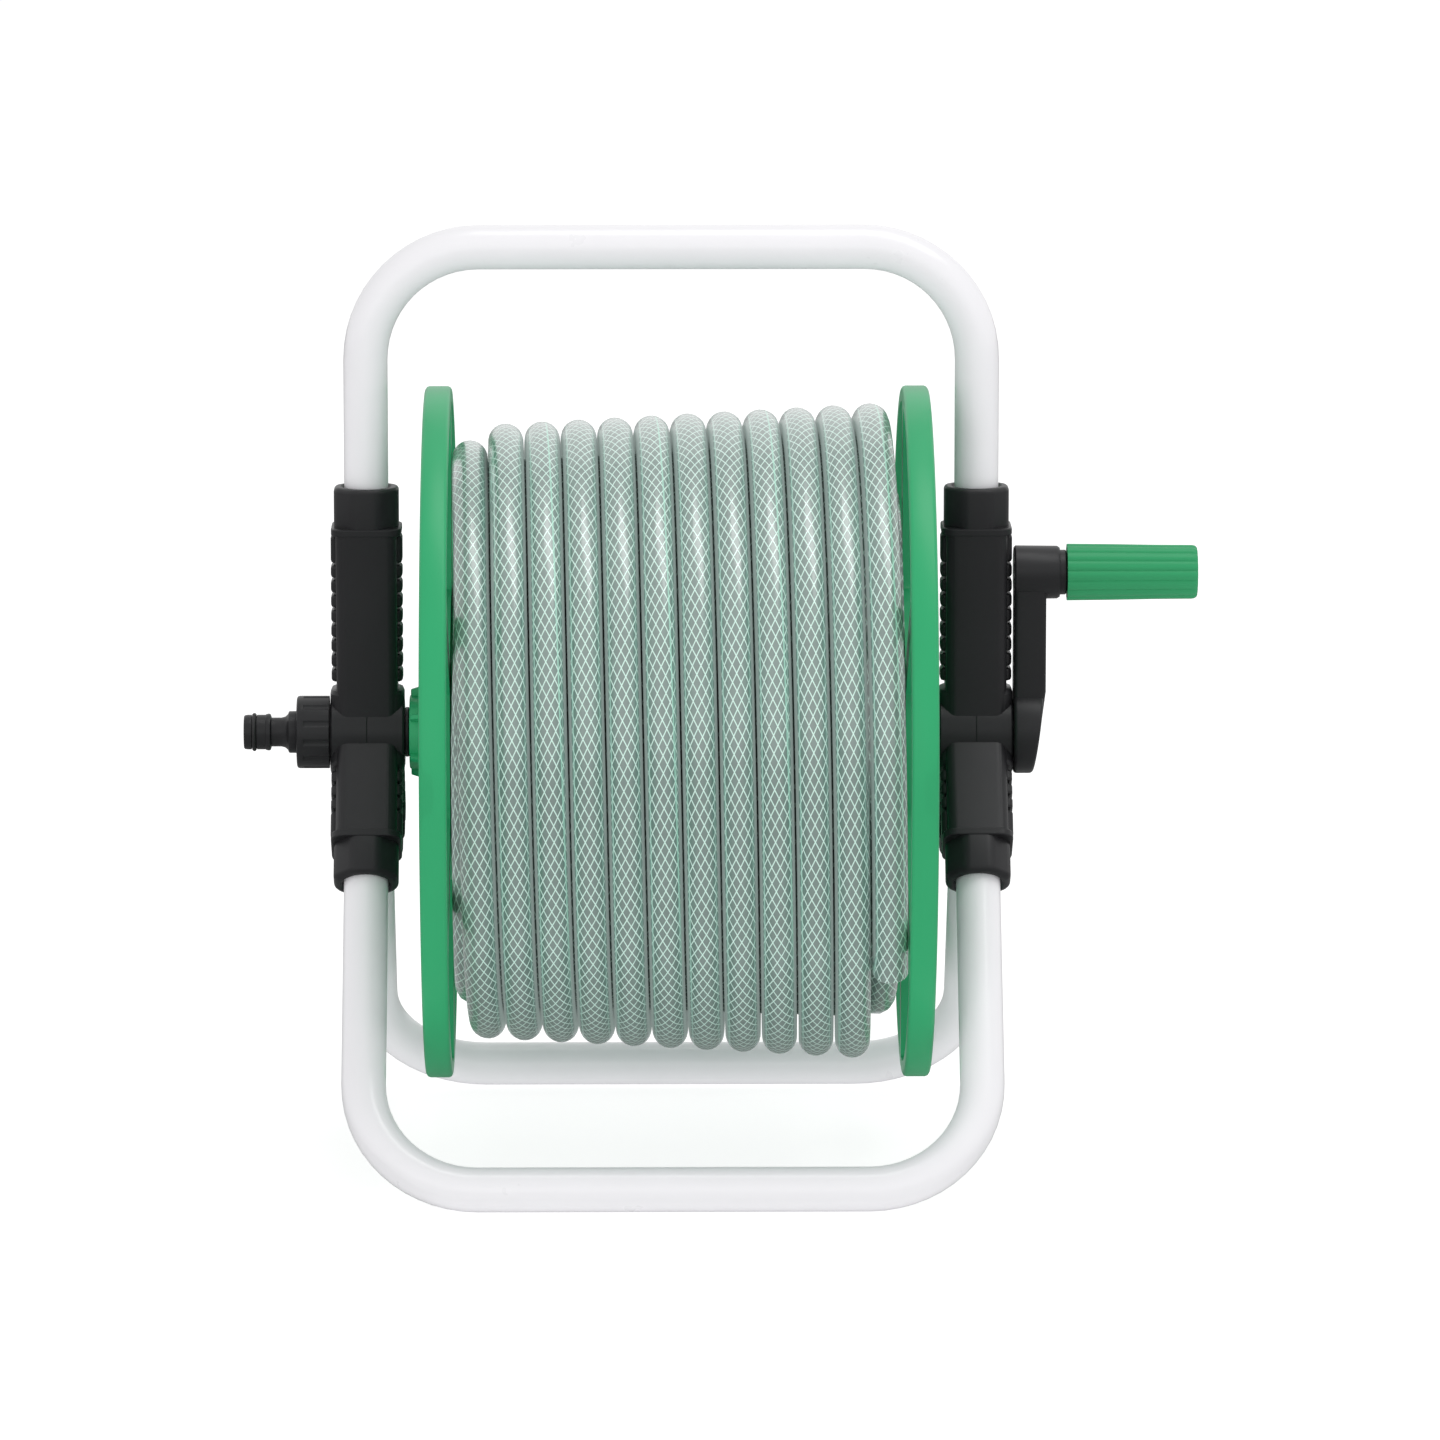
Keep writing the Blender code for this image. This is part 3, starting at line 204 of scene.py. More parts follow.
# %% Floor
def add_floor(glow, lighting, reflected):
    """A pale floor whose glow is for the camera and, weaker, for soft light, not for gloss."""
    bm = bmesh.new()
    bmesh.ops.create_grid(bm, x_segments=1, y_segments=1, size=30.0)
    floor = linked("studio_floor", mesh_of("studio_floor", bm))
    material, tree, shader = new_material("studio_floor")
    rays = add_node(tree, "LightPath", {}).outputs
    seen = maths(tree, "MULTIPLY", rays["Is Camera Ray"], glow)
    lit = maths(tree, "MULTIPLY", rays["Is Diffuse Ray"], lighting)
    feed(tree, shader, {"Base Color": (reflected, reflected, reflected, 1.0), "Roughness": 0.9,
                        "Specular IOR Level": 0.0, "Emission Color": white,
                        "Emission Strength": maths(tree, "ADD", seen, lit)})
    floor.data.materials.append(material)
    print("floor: glow", glow, "light", lighting, "reflection", reflected)


add_floor(glow=0.76, lighting=0.62, reflected=0.45)

# %% [markdown]
# ## Colours
# A colour read off a picture is a display value from 0 to 255, and a shader works in
# linear light, so one small helper changes the first into the second.

# %% Display colour to linear colour
def shade(red, green, blue):
    """Linear RGBA of a display colour."""
    def linear(value):
        value /= 255.0
        return value / 12.92 if value <= 0.04045 else ((value + 0.055) / 1.055) ** 2.4
    return (linear(red), linear(green), linear(blue), 1.0)


# %% [markdown]
# ## Effects that the finishes share
# Moulded plastic, powder coat and rubber all break up in the same way: a fine grain in
# the surface, and broad faint patches where it is a little duller or darker. One node
# group makes both from the place on the object, so the effect sits still on the piece,
# and each material gives it its own colour and sizes.

# %% Surface group
def new_group(name, inputs, outputs):
    """An empty shader group and its two end nodes; a socket named Colour is a colour."""
    group = bpy.data.node_groups.new(name, "ShaderNodeTree")
    for direction, labels in (("INPUT", inputs), ("OUTPUT", outputs)):
        for label in labels:
            kind = "NodeSocketColor" if label == "Colour" else "NodeSocketFloat"
            group.interface.new_socket(name=label, in_out=direction, socket_type=kind)
    return group, group.nodes.new("NodeGroupInput").outputs, group.nodes.new("NodeGroupOutput")


def make_surface_group():
    """Grain and patches for any plain finish."""
    group, given, leave = new_group(
        "surface_breakup",
        ("Colour", "Roughness", "Grain per metre", "Patches per metre", "Patch strength"),
        ("Colour", "Roughness", "Height"))
    place = add_node(group, "TexCoord", {}).outputs["Object"]
    grain = add_node(group, "TexNoise", {"Vector": place, "Scale": given["Grain per metre"],
                                         "Detail": 2.0})
    patches = add_node(group, "TexNoise", {"Vector": place, "Scale": given["Patches per metre"],
                                           "Detail": 4.0, "Roughness": 0.6})
    centred = maths(group, "SUBTRACT", patches.outputs["Fac"], 0.5)
    swing = maths(group, "MULTIPLY", centred, given["Patch strength"])
    tint = add_node(group, "VectorMath", {0: given["Colour"],
                                          "Scale": maths(group, "ADD", swing, 1.0)},
                    operation="SCALE")
    feed(group, leave, {"Colour": tint.outputs[0], "Height": grain.outputs["Fac"],
                        "Roughness": maths(group, "ADD", given["Roughness"], swing)})
    return group


surface_group = make_surface_group()
print("surface group:", len(surface_group.nodes), "nodes")

# %% [markdown]
# ## Plain finishes
# Every plain finish is one Principled shader fed by that group. The grain goes through
# a Bump node whose distance is the real depth of the grain.

# %% Plain finishes
def breakup(tree, colour, roughness, grain, patches, strength):
    """The outputs of the surface group, set for one finish."""
    return add_node(tree, "Group", {
        "Colour": colour, "Roughness": roughness, "Grain per metre": grain,
        "Patches per metre": patches, "Patch strength": strength},
        node_tree=surface_group).outputs


def bump(tree, height, depth):
    """The normal of a surface whose height of 0 to 1 is a real depth."""
    return add_node(tree, "Bump", {"Height": height, "Distance": depth}).outputs["Normal"]


def plain_finish(name, colour, roughness, grain, grain_depth, patches=30.0, strength=0.12,
                 metallic=0.0, coat=0.0, gloss=0.5):
    """A Principled material broken up by the shared group."""
    material, tree, shader = new_material(name)
    broken = breakup(tree, colour, roughness, grain, patches, strength)
    feed(tree, shader, {
        "Metallic": metallic, "Specular IOR Level": gloss, "Coat Weight": coat,
        "Coat Roughness": 0.08, "Base Color": broken["Colour"], "Roughness": broken["Roughness"],
        "Normal": bump(tree, broken["Height"], grain_depth)})
    material.diffuse_color = colour
    print(name, "has a roughness of", roughness)
    return material


white_paint = plain_finish("white_powder_coat", shade(243, 242, 245), 0.28, 700.0, 0.02 * mm,
                           strength=0.04, coat=0.3)
black_plastic = plain_finish("black_satin_plastic", shade(34, 34, 36), 0.38, 2600.0, 0.03 * mm,
                             strength=0.25, gloss=0.28)
green_plastic = plain_finish("green_satin_plastic", shade(42, 166, 108), 0.36, 2200.0, 0.02 * mm,
                             strength=0.06, gloss=0.35)
grip_plastic = plain_finish("green_grip_plastic", shade(46, 154, 100), 0.46, 2600.0, 0.04 * mm,
                            strength=0.1, gloss=0.3)
zinc_steel = plain_finish("bright_zinc", shade(190, 192, 195), 0.3, 3500.0, 0.01 * mm,
                          patches=220.0, strength=0.3, metallic=1.0)
black_rubber = plain_finish("black_rubber", shade(26, 26, 27), 0.62, 4000.0, 0.03 * mm)
white_plastic = plain_finish("white_acetal", shade(220, 220, 216), 0.4, 2500.0, 0.02 * mm,
                             strength=0.05)

# %% [markdown]
# ## Hose finish
# The hose is clear grey-green plastic with two sets of pale threads wound inside it, one
# leaning each way, so they cross in small diamonds. The hose's own UV map runs once
# along it and once round it. Multiplied by the number of threads and the number of
# thread turns, it tells how far each point is from the nearest thread. Across each turn
# the colour changes: grey in the middle, darker and greener to the sides as painted shade
# of the gap to the next turn, a pale line where the bore's edge gathers the threads, and
# then the bare clear wall in a darker grey that is painted shade of the gap too. The wall
# carries light round into the gaps between turns, which a faint painted glow of its own
# colour stands for. Sides that face a flange have no turn beside them, so they get no
# painted shade, pale line or glow and keep the look of the middle.

# %% Steps and blends
def step_mask(tree, value, low, high, at_low=0.0, at_high=1.0):
    """A soft step of a value between two levels."""
    return add_node(tree, "MapRange", {
        "Value": value, "From Min": low, "From Max": high, "To Min": at_low,
        "To Max": at_high}, interpolation_type="SMOOTHSTEP").outputs["Result"]


def blend_colours(tree, factor, first, second):
    """A colour mix; the Mix node's colour sockets are 6 and 7, and its output 2."""
    return add_node(tree, "Mix", {"Factor": factor, 6: first, 7: second},
                    data_type="RGBA").outputs[2]


# %% Braid group
def make_braid_group():
    """Two crossing families of threads and one long stripe, as masks."""
    group, given, leave = new_group(
        "hose_braid", ("Along", "Around", "Threads", "Thread width", "Drift"),
        ("Threads", "Stripe"))
    turn = maths(group, "MULTIPLY", given["Around"], given["Threads"])
    inside = maths(group, "MULTIPLY", given["Thread width"], 0.3)
    outside = maths(group, "MULTIPLY", given["Thread width"], 0.7)

    def from_middle(value):
        """How far a value is from half way between two whole numbers."""
        return maths(group, "ABSOLUTE",
                     maths(group, "SUBTRACT", maths(group, "FRACT", value), 0.5))

    lines = [step_mask(group, from_middle(maths(group, lean, given["Along"], turn)),
                       inside, outside, 1.0, 0.0) for lean in ("ADD", "SUBTRACT")]
    drifted = maths(group, "ADD", given["Around"], given["Drift"])
    feed(group, leave, {"Threads": maths(group, "MAXIMUM", *lines),
                        "Stripe": maths(group, "LESS_THAN", from_middle(drifted), 0.008)})
    return group


braid_group = make_braid_group()
print("braid group:", len(braid_group.nodes), "nodes")

# %% Hose material
def hose_finish(name, length, threads=13, diamond=7.4 * mm):
    """Braided hose of a given length, read from its own UV map and side attribute."""
    material, tree, shader = new_material(name)
    uv = add_node(tree, "UVMap", {}, uv_map="UVMap").outputs["UV"]
    along, around = add_node(tree, "SeparateXYZ", {0: uv}).outputs[:2]
    braid = add_node(tree, "Group", {
        "Threads": threads, "Thread width": 0.14, "Around": around,
        "Along": maths(tree, "MULTIPLY", along, length / diamond),
        "Drift": maths(tree, "MULTIPLY", along, length * 0.37)}, node_tree=braid_group).outputs
    facing = add_node(tree, "Attribute", {}, attribute_name="side").outputs["Fac"]
    side = maths(tree, "ABSOLUTE", facing)
    threads_seen = maths(tree, "MULTIPLY", braid["Threads"],
                         step_mask(tree, side, 0.74, 0.86, 1.0, 0.3))
    inner_edge = maths(tree, "MULTIPLY", step_mask(tree, side, 0.69, 0.73),
                       step_mask(tree, side, 0.75, 0.79, 1.0, 0.0))
    inner_edge = maths(tree, "MULTIPLY", inner_edge,
                       step_mask(tree, facing, -0.5, 0.5, 0.75, 0.4))
    stripe = maths(tree, "MULTIPLY", braid["Stripe"], 0.7)
    # The sides beside a turn are painted shade of the gap: darker and greener, then a darker grey
    # band at the wall, which also sets where the painted glow is.
    gap_shade_and_glow = step_mask(tree, side, 0.78, 0.88)
    body = breakup(tree, shade(124, 143, 137), 0.4, 900.0, 60.0, 0.3)["Colour"]
    for mask, colour in ((step_mask(tree, side, 0.15, 0.8), shade(88, 126, 115)),
                         (threads_seen, shade(216, 247, 236)),
                         (inner_edge, shade(190, 236, 220)),
                         (stripe, shade(176, 236, 214)),
                         (gap_shade_and_glow, shade(100, 118, 113))):
        body = blend_colours(tree, mask, body, colour)
    # Emission Color is a painted glow in the gaps between turns, in place of light that the clear
    # wall carries round.
    feed(tree, shader, {
        "Base Color": body, "Roughness": 0.34, "Coat Weight": 1.0, "Coat Roughness": 0.22,
        "Coat IOR": 1.8, "Subsurface Weight": 0.3, "Subsurface Scale": 4.0 * mm,
        "Subsurface Radius": (1.0, 1.0, 1.0), "Emission Strength": 1.0,
        "Emission Color": blend_colours(tree, gap_shade_and_glow, (0.0, 0.0, 0.0, 1.0), shade(106, 115, 112)),
        "Normal": bump(tree, braid["Threads"], 0.08 * mm)})
    print(name, "has", round(length / diamond), "diamonds along it")
    return material


# %% [markdown]
# ## Helpers for the shapes
# Real parts have no knife-sharp corners: a mould or a press rounds them. So the first
# helpers place a shape and soften its edges. Most pieces were turned or moulded about the
# axle, so another one spins a short outline. The last ones weld overlapping shapes into
# one skin, and store the result as a piece that rides on a body of the reel.

# %% Placing
def shift(x=0.0, y=0.0, z=0.0):
    """A move by millimetres."""
    return Matrix.Translation((x * mm, y * mm, z * mm))


def rotation(angle, axis="X"):
    """A turn about an axis through the middle."""
    return Matrix.Rotation(angle, 4, axis)


def moved(bm, matrix):
    """Place a shape and return it."""
    bmesh.ops.transform(bm, matrix=matrix, verts=bm.verts[:])
    return bm


# %% Softening
def only(kind, items):
    """The corners, or the edges, among what an operator made."""
    return [item for item in items if isinstance(item, kind)]


def tidy(bm):
    """Merge doubled corners and point every face outwards."""
    bmesh.ops.remove_doubles(bm, verts=bm.verts[:], dist=0.0005 * mm)
    bmesh.ops.recalc_face_normals(bm, faces=bm.faces[:])
    return bm


def rounded(bm, geom, width, segments, affect="EDGES"):
    """Round some edges, or some corners, by a width in millimetres."""
    bmesh.ops.bevel(bm, geom=geom, offset=width * mm, offset_type="OFFSET", segments=segments,
                    profile=0.5, affect=affect, clamp_overlap=True, material=-1)
    return bm


def soften(bm, width, segments=2, sharp=30.0):
    """Round every edge that is sharper than an angle by a width in millimetres."""
    edges = [edge for edge in bm.edges
             if len(edge.link_faces) == 2 and edge.calc_face_angle() > radians(sharp)]
    return tidy(rounded(bm, edges, width, segments))


# %% Simple shapes
def turned(outline, steps=64, closed=False):
    """Spin an outline of (x, radius) points in millimetres once round the X axis."""
    bm = bmesh.new()
    corners = [bm.verts.new((x * mm, radius * mm, 0.0)) for x, radius in outline]
    pairs = list(zip(corners, corners[1:]))
    if closed:
        pairs.append((corners[-1], corners[0]))
    edges = [bm.edges.new(pair) for pair in pairs]
    bmesh.ops.spin(bm, geom=corners + edges, cent=(0.0, 0.0, 0.0), axis=(1.0, 0.0, 0.0),
                   angle=2 * pi, steps=steps, use_merge=True)
    return tidy(bm)


def rod(start, end, radius, steps=48):
    """A plain round bar along the X axis."""
    return turned([(start, 0.0), (start, radius), (end, radius), (end, 0.0)], steps)


def box(size, middle):
    """A plain box of (x, y, z) millimetres."""
    bm = bmesh.new()
    bmesh.ops.create_cube(bm, size=1.0)
    moved(bm, Matrix.Diagonal((size[0] * mm, size[1] * mm, size[2] * mm, 1.0)))
    return moved(bm, shift(*middle))


def thickened(bm, travel):
    """Draw a flat face out by a travel in millimetres."""
    made = bmesh.ops.extrude_face_region(bm, geom=bm.faces[:])["geom"]
    bmesh.ops.translate(bm, verts=only(BMVert, made), vec=Vector(travel) * mm)
    return tidy(bm)


# %% Welding
def together(shapes):
    """Put several shapes into one bmesh."""
    whole = bmesh.new()
    for shape in shapes:
        mesh = mesh_of("part_of_shape", shape)
        whole.from_mesh(mesh)
        bpy.data.meshes.remove(mesh)
    return whole


def boolean(base, shapes, operation):
    """Weld shapes to a base, or cut them out of it, in one exact Boolean."""
    target, tool = [linked("boolean_shape", mesh_of("boolean_shape", shape))
                    for shape in (base, together(shapes))]
    modifier = target.modifiers.new("boolean", "BOOLEAN")
    modifier.operation = operation
    modifier.solver = "EXACT"
    modifier.use_self = True
    modifier.object = tool
    graph = bpy.context.evaluated_depsgraph_get()
    result = bmesh.new()
    result.from_mesh(target.evaluated_get(graph).to_mesh())
    for thing in (target, tool):
        mesh = thing.data
        bpy.data.objects.remove(thing, do_unlink=True)
        bpy.data.meshes.remove(mesh)
    speck = 0.001 * mm
    bmesh.ops.dissolve_degenerate(result, edges=result.edges[:], dist=speck)
    bmesh.ops.remove_doubles(result, verts=result.verts[:], dist=speck)
    pinholes = [edge for edge in result.edges if edge.is_boundary]
    bmesh.ops.holes_fill(result, edges=pinholes, sides=6)
    return result


# %% Finished pieces
def finish_piece(node, bm, material, body, sharp=40.0):
    """Shift a shape from the axle to its place and make it the piece that replaces a node."""
    name = f"fine_{node}"
    mesh = mesh_of(name, moved(bm, to_axle))
    mesh.shade_smooth()
    mesh.set_sharp_from_angle(angle=radians(sharp))
    mesh.materials.append(material)
    piece = linked(name, mesh)
    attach(piece, body)
    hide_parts(node)
    print(name, "has", sum(len(face.vertices) - 2 for face in mesh.polygons), "triangles")


# %% [markdown]
# ## Stand tubes
# Each tube of the stand is a straight 20 mm tube bent twice into a U. The mesh is made
# the same way as the real one: a ring of the tube's section is drawn out straight, spun
# through a quarter turn, drawn out along the bar, spun again and drawn out to the other
# end. An inner ring goes along with the outer one, so the tube has a real wall.

# %% Drawing rings out
def repeated(bm, edges):
    """Extrude rings of edges on the spot and return the new corners and the new rings."""
    made = bmesh.ops.extrude_edge_only(bm, edges=edges)["geom"]
    return only(BMVert, made), [edge for edge in only(BMEdge, made) if edge.is_boundary]


def draw_out(bm, edges, travel):
    """Extrude rings of edges by a travel in millimetres and return the new rings."""
    corners, rings = repeated(bm, edges)
    bmesh.ops.translate(bm, verts=corners, vec=Vector(travel) * mm)
    return rings


def bend(bm, edges, centre, steps=14):
    """Spin rings of edges a quarter turn about a Y axis through centre."""
    made = bmesh.ops.spin(bm, geom=edges, cent=Vector(centre) * mm, axis=(0.0, 1.0, 0.0),
                          angle=pi / 2, steps=steps)["geom_last"]
    return only(BMEdge, made)


# %% Bent tubes
tube_radius = 10.0
tube_wall = 1.5
tube_x = 138.0
bend_radius = 51.0
leg_splay = radians(36.0)
arm_turns = {"handle": 0.0, "front_leg": pi - leg_splay, "rear_leg": pi + leg_splay}
tube_reach = {"handle": 221.5, "front_leg": 226.0, "rear_leg": 226.0}
arm_reach = {"handle": 113.0, "front_leg": 77.0, "rear_leg": 77.0}
socket_depth = 36.0
socket_gap = 0.3


def bent_tube(reach, start, sides=40):
    """A hollow U of tube that opens downwards, its ends at the height start."""
    bm = bmesh.new()
    for radius in (tube_radius, tube_radius - tube_wall):
        bmesh.ops.create_circle(bm, segments=sides, radius=radius * mm,
                                matrix=shift(-tube_x, 0.0, start))
    first = bm.edges[:]
    turn_x, turn_z = tube_x - bend_radius, reach - bend_radius
    rings = draw_out(bm, first, (0.0, 0.0, turn_z - start))
    rings = bend(bm, rings, (-turn_x, 0.0, turn_z))
    rings = draw_out(bm, rings, (2 * turn_x, 0.0, 0.0))
    rings = bend(bm, rings, (turn_x, 0.0, turn_z))
    last = draw_out(bm, rings, (0.0, 0.0, start - turn_z))
    for rings in (first, last):
        bmesh.ops.bridge_loops(bm, edges=rings)
    return tidy(bm)


for label, turn in arm_turns.items():
    tube = bent_tube(tube_reach[label], arm_reach[label] - socket_depth + socket_gap)
    finish_piece(f"{label}_tube", moved(tube, rotation(turn)), white_paint, "stand")

# %% [markdown]
# ## Side brackets
# A bracket is one black moulding: a hub across the axle and three arms, each with a
# smooth panel down its front and back, rounded grip ribs on both sides, a bead, and an
# eight-sided collar with a chamfered mouth that takes the tube. It is made of simple
# softened shapes that overlap, welded by one Boolean, with the bores cut by another.

# %% Collar of an arm
collar_length = 18.0


def uprights(bm, height):
    """The edges that run up a shape of some height in millimetres."""
    return [edge for edge in bm.edges
            if abs(edge.verts[0].co.z - edge.verts[1].co.z) > 0.5 * height * mm]


def octagon_collar(reach, rim):
    """The eight-sided socket end of an arm, with soft upright edges and a round rim."""
    bm = bmesh.new()
    height = collar_length + 3.0
    corner_radius = 14.65 / cos(pi / 8) * mm
    bmesh.ops.create_cone(bm, cap_ends=True, cap_tris=False, segments=8, radius1=corner_radius,
                          radius2=corner_radius, depth=height * mm)
    moved(bm, rotation(pi / 8, "Z"))
    rounded(bm, uprights(bm, height), 2.6, 4)
    rims = [edge for edge in bm.edges if edge.calc_face_angle() > radians(60.0)]
    return moved(tidy(rounded(bm, rims, rim, 5)), shift(z=reach - height / 2))


# %% Bars of an arm
hub_radius = 16.0
hub_length = 33.5
rib_pitch = 6.8
panel_half_depth = 14.8


def slab(width, depth, low, high, corner, edge):
    """An upright bar between two heights, with round corners and softened ends."""
    bm = box((width, depth, high - low), (0.0, 0.0, (high + low) / 2))
    return soften(rounded(bm, uprights(bm, high - low), corner, 6), edge, sharp=50.0)


def narrowed(bm, share):
    """Make an upright bar shallower at its lower end by a share of its depth."""
    heights = [corner.co.z for corner in bm.verts]
    low, high = min(heights), max(heights)
    for corner in bm.verts:
        corner.co.y *= share + (1 - share) * (corner.co.z - low) / (high - low)
    return bm


def arm_shapes(reach, rim, root):
    """The overlapping shapes of one arm along +Z, root being its half depth at the hub."""
    end = reach - collar_length
    shoulder = 3.4
    shapes = [
        octagon_collar(reach, rim),
        slab(31.8, 30.2, end - shoulder, end, 6.5, 0.6),
        narrowed(slab(27.6, 2 * panel_half_depth, 2.0, end - 0.5, 5.0, 0.4),
                 root / panel_half_depth),
        slab(hub_length, 2 * root - 0.6, 1.0, hub_radius + 5.0, 8.0, 2.4),
    ]
    top, bottom = end - shoulder - 0.5, hub_radius + 0.8
    lengths = [2 * rib_pitch] + [rib_pitch] * int((top - bottom - 2 * rib_pitch) / rib_pitch)
    for length in lengths:
        shapes.append(slab(32.4, 12.6, top - length + 0.9, top, 2.2, 1.4))
        top -= length
    return shapes


# %% Holes of an arm
screw_inset = 9.0


def tube_bore(reach):
    """The hole for a tube end, with its chamfered mouth, along +Z."""
    depth = reach - socket_depth
    bore = turned([(depth, 0.0), (depth, 10.3), (reach - 1.4, 10.3), (reach + 0.2, 11.9),
                   (reach + 2.0, 11.9), (reach + 2.0, 0.0)], 48)
    return moved(bore, rotation(-pi / 2, "Y"))


def screw_place(label):
    """Where the screw of an arm sits, pointing out of the side turned away from the viewer."""
    turn = arm_turns[label]
    side = -pi / 2 if 0.0 < turn < pi else pi / 2
    return rotation(turn) @ shift(z=arm_reach[label] - screw_inset) @ rotation(side, "Z")


# %% Brackets
def bracket(side, axle_bore):
    """One bracket with its hub, arms, sockets and holes."""
    half = hub_length / 2
    hub = turned([(-half, 0.0), (-half, hub_radius - 0.8), (-half + 0.8, hub_radius),
                  (-0.35, hub_radius), (0.0, hub_radius - 0.25), (0.35, hub_radius),
                  (half - 0.8, hub_radius), (half, hub_radius - 0.8), (half, 0.0)], 64)
    shapes, holes = [], []
    for label, turn in arm_turns.items():
        reach = arm_reach[label]
        rim, root = (2.0, 13.0) if label == "handle" else (3.0, 10.6)
        shapes += [moved(shape, rotation(turn)) for shape in arm_shapes(reach, rim, root)]
        holes.append(moved(tube_bore(reach), rotation(turn)))
        holes.append(moved(rod(0.0, 30.0, 2.05, 16), screw_place(label)))
    holes.append(rod(-40.0, 40.0, axle_bore))
    body = boolean(hub, shapes, "UNION")
    return moved(boolean(body, holes, "DIFFERENCE"), shift(side * tube_x))


for side_name, side, axle_bore in (("left", -1, 9.0), ("right", 1, 10.6)):
    finish_piece(f"{side_name}_bracket", bracket(side, axle_bore), black_plastic, "stand",
                 sharp=20.0)

# %% [markdown]
# ## Screws
# All sixteen screws are pan heads with a cross recess. One helper turns the head and
# shank and cuts the cross, and each screw is that shape at its own size, turned into its
# place: six pin the tubes, eight hold the flanges and one holds each end of the shaft.

# %% Screws
def pan_screw(tip, seat, shank, head, height):
    """A pan-head screw along +X with its head beyond seat, all in millimetres."""
    r = head / 2
    top = seat + height
    bm = turned([(tip, 0.0), (tip + shank / 2, shank / 2), (seat, shank / 2), (seat, r - 0.2),
                 (seat + 0.2, r), (seat + height * 0.55, r), (seat + height * 0.85, r * 0.86),
                 (top, r * 0.6), (top, 0.0)], 32)
    long, narrow, deep = head * 0.52, head * 0.14, 2 * height * 0.55
    slots = [box((deep, long, narrow), (top, 0.0, 0.0)), box((deep, narrow, long), (top, 0.0, 0.0))]
    return boolean(bm, slots, "DIFFERENCE")


for label in arm_turns:
    for side_name, side in (("left", -1), ("right", 1)):
        screw = moved(pan_screw(4.5, 15.46, 3.5, 7.0, 2.2),
                      shift(side * tube_x) @ screw_place(label))
        finish_piece(f"{label}_screw_{side_name}", screw, zinc_steel, "stand")

about_face = rotation(pi, "Z")
flange_places = {"left": shift(-99.5) @ about_face, "right": shift(104.5)}
screw_circle = 54.0
screw_spots = [shift(0.0, screw_circle * cos(angle), screw_circle * sin(angle))
               for angle in (pi / 4 + quarter * pi / 2 for quarter in range(4))]
for number in range(8):
    place = screw_spots[number % 4] @ flange_places["left" if number < 4 else "right"]
    finish_piece(f"drum_screw_{number + 1}", moved(pan_screw(-16.0, 4.3, 3.4, 7.2, 2.4), place),
                 zinc_steel, "drum")

screw = moved(pan_screw(-119.2, -103.9, 3.8, 15.0, 3.0), about_face)
finish_piece("shaft_screw", screw, zinc_steel, "drum")
finish_piece("crank_screw", pan_screw(149.9, 164.9, 3.8, 8.0, 1.6), zinc_steel, "drum")

# %% [markdown]
# ## Water inlet
# The coupling nipple is turned in one outline: a tip with a chamfer, the groove of its
# sealing ring, a stop ring, a waisted neck, a collar and the skirt that screws on the
# axle. The skirt is a grip too, so twelve shallow channels are pressed into it, each one
# a round bar cut away along the skirt.

# %% Inlet connector
nipple = turned([
    (-194.25, 4.5), (-194.25, 7.2), (-193.75, 7.7), (-192.6, 7.9), (-190.8, 7.9), (-190.75, 6.5),
    (-188.35, 6.5), (-188.3, 7.9), (-184.4, 7.9), (-184.2, 8.15), (-183.2, 8.4), (-182.3, 8.3),
    (-181.95, 7.6), (-181.65, 6.6), (-177.2, 6.6), (-175.4, 7.1), (-174.25, 8.2), (-174.0, 9.0),
    (-173.6, 9.5), (-170.4, 9.55), (-170.1, 9.5), (-170.1, 15.5), (-169.7, 16.2), (-168.9, 16.5),
    (-155.4, 16.5), (-155.35, 16.3), (-155.35, 13.2), (-168.3, 13.2), (-168.3, 4.5)],
    96, closed=True)
channels = []
for channel in range(12):
    place = rotation(2 * pi * (channel + 0.25) / 12) @ shift(z=18.45)
    channels.append(moved(rod(-167.0, -150.0, 2.6, 20), place))
finish_piece("inlet_connector", boolean(nipple, channels, "DIFFERENCE"), black_plastic, "stand",
             sharp=35.0)

# %% [markdown]
# ## Rings and bush
# Three small rings sit on the axle: the nipple's rubber seal, the retainer that keeps the
# drum off the left bracket, and the plain bearing of the shaft on the right. Each is a
# closed outline, so spinning it gives a ring with its own hole and no Boolean is needed.

# %% Rings and bush
o_ring = turned([(-189.55 + 1.0 * cos(angle), 7.65 + 1.05 * sin(angle))
                 for angle in (2 * pi * step / 16 for step in range(16))], 72, closed=True)
finish_piece("inlet_o_ring", o_ring, black_rubber, "stand")
retainer = turned([(-120.95, 8.5), (-120.95, 11.0), (-120.6, 11.35), (-119.6, 11.35),
                   (-119.25, 11.0), (-119.25, 8.5)], 64, closed=True)
finish_piece("spigot_retainer", retainer, black_plastic, "stand")
bush = turned([(119.75, 8.3), (119.75, 13.6), (120.0, 14.0), (120.7, 14.0), (120.95, 13.6),
               (120.95, 10.3), (154.75, 10.3), (154.75, 8.3)], 64, closed=True)
finish_piece("right_bush", bush, white_plastic, "stand")

# %% [markdown]
# ## Flanges
# A flange is a hoop on edge joined by six spokes to a round hub. The hoop, the web and
# the boss are one spun outline. Six windows with round corners are cut out of the web,
# and small gussets stiffen the boss on the middle of each spoke.

# %% Windows and gussets
spoke_width = 14.0
web_thickness = 4.0


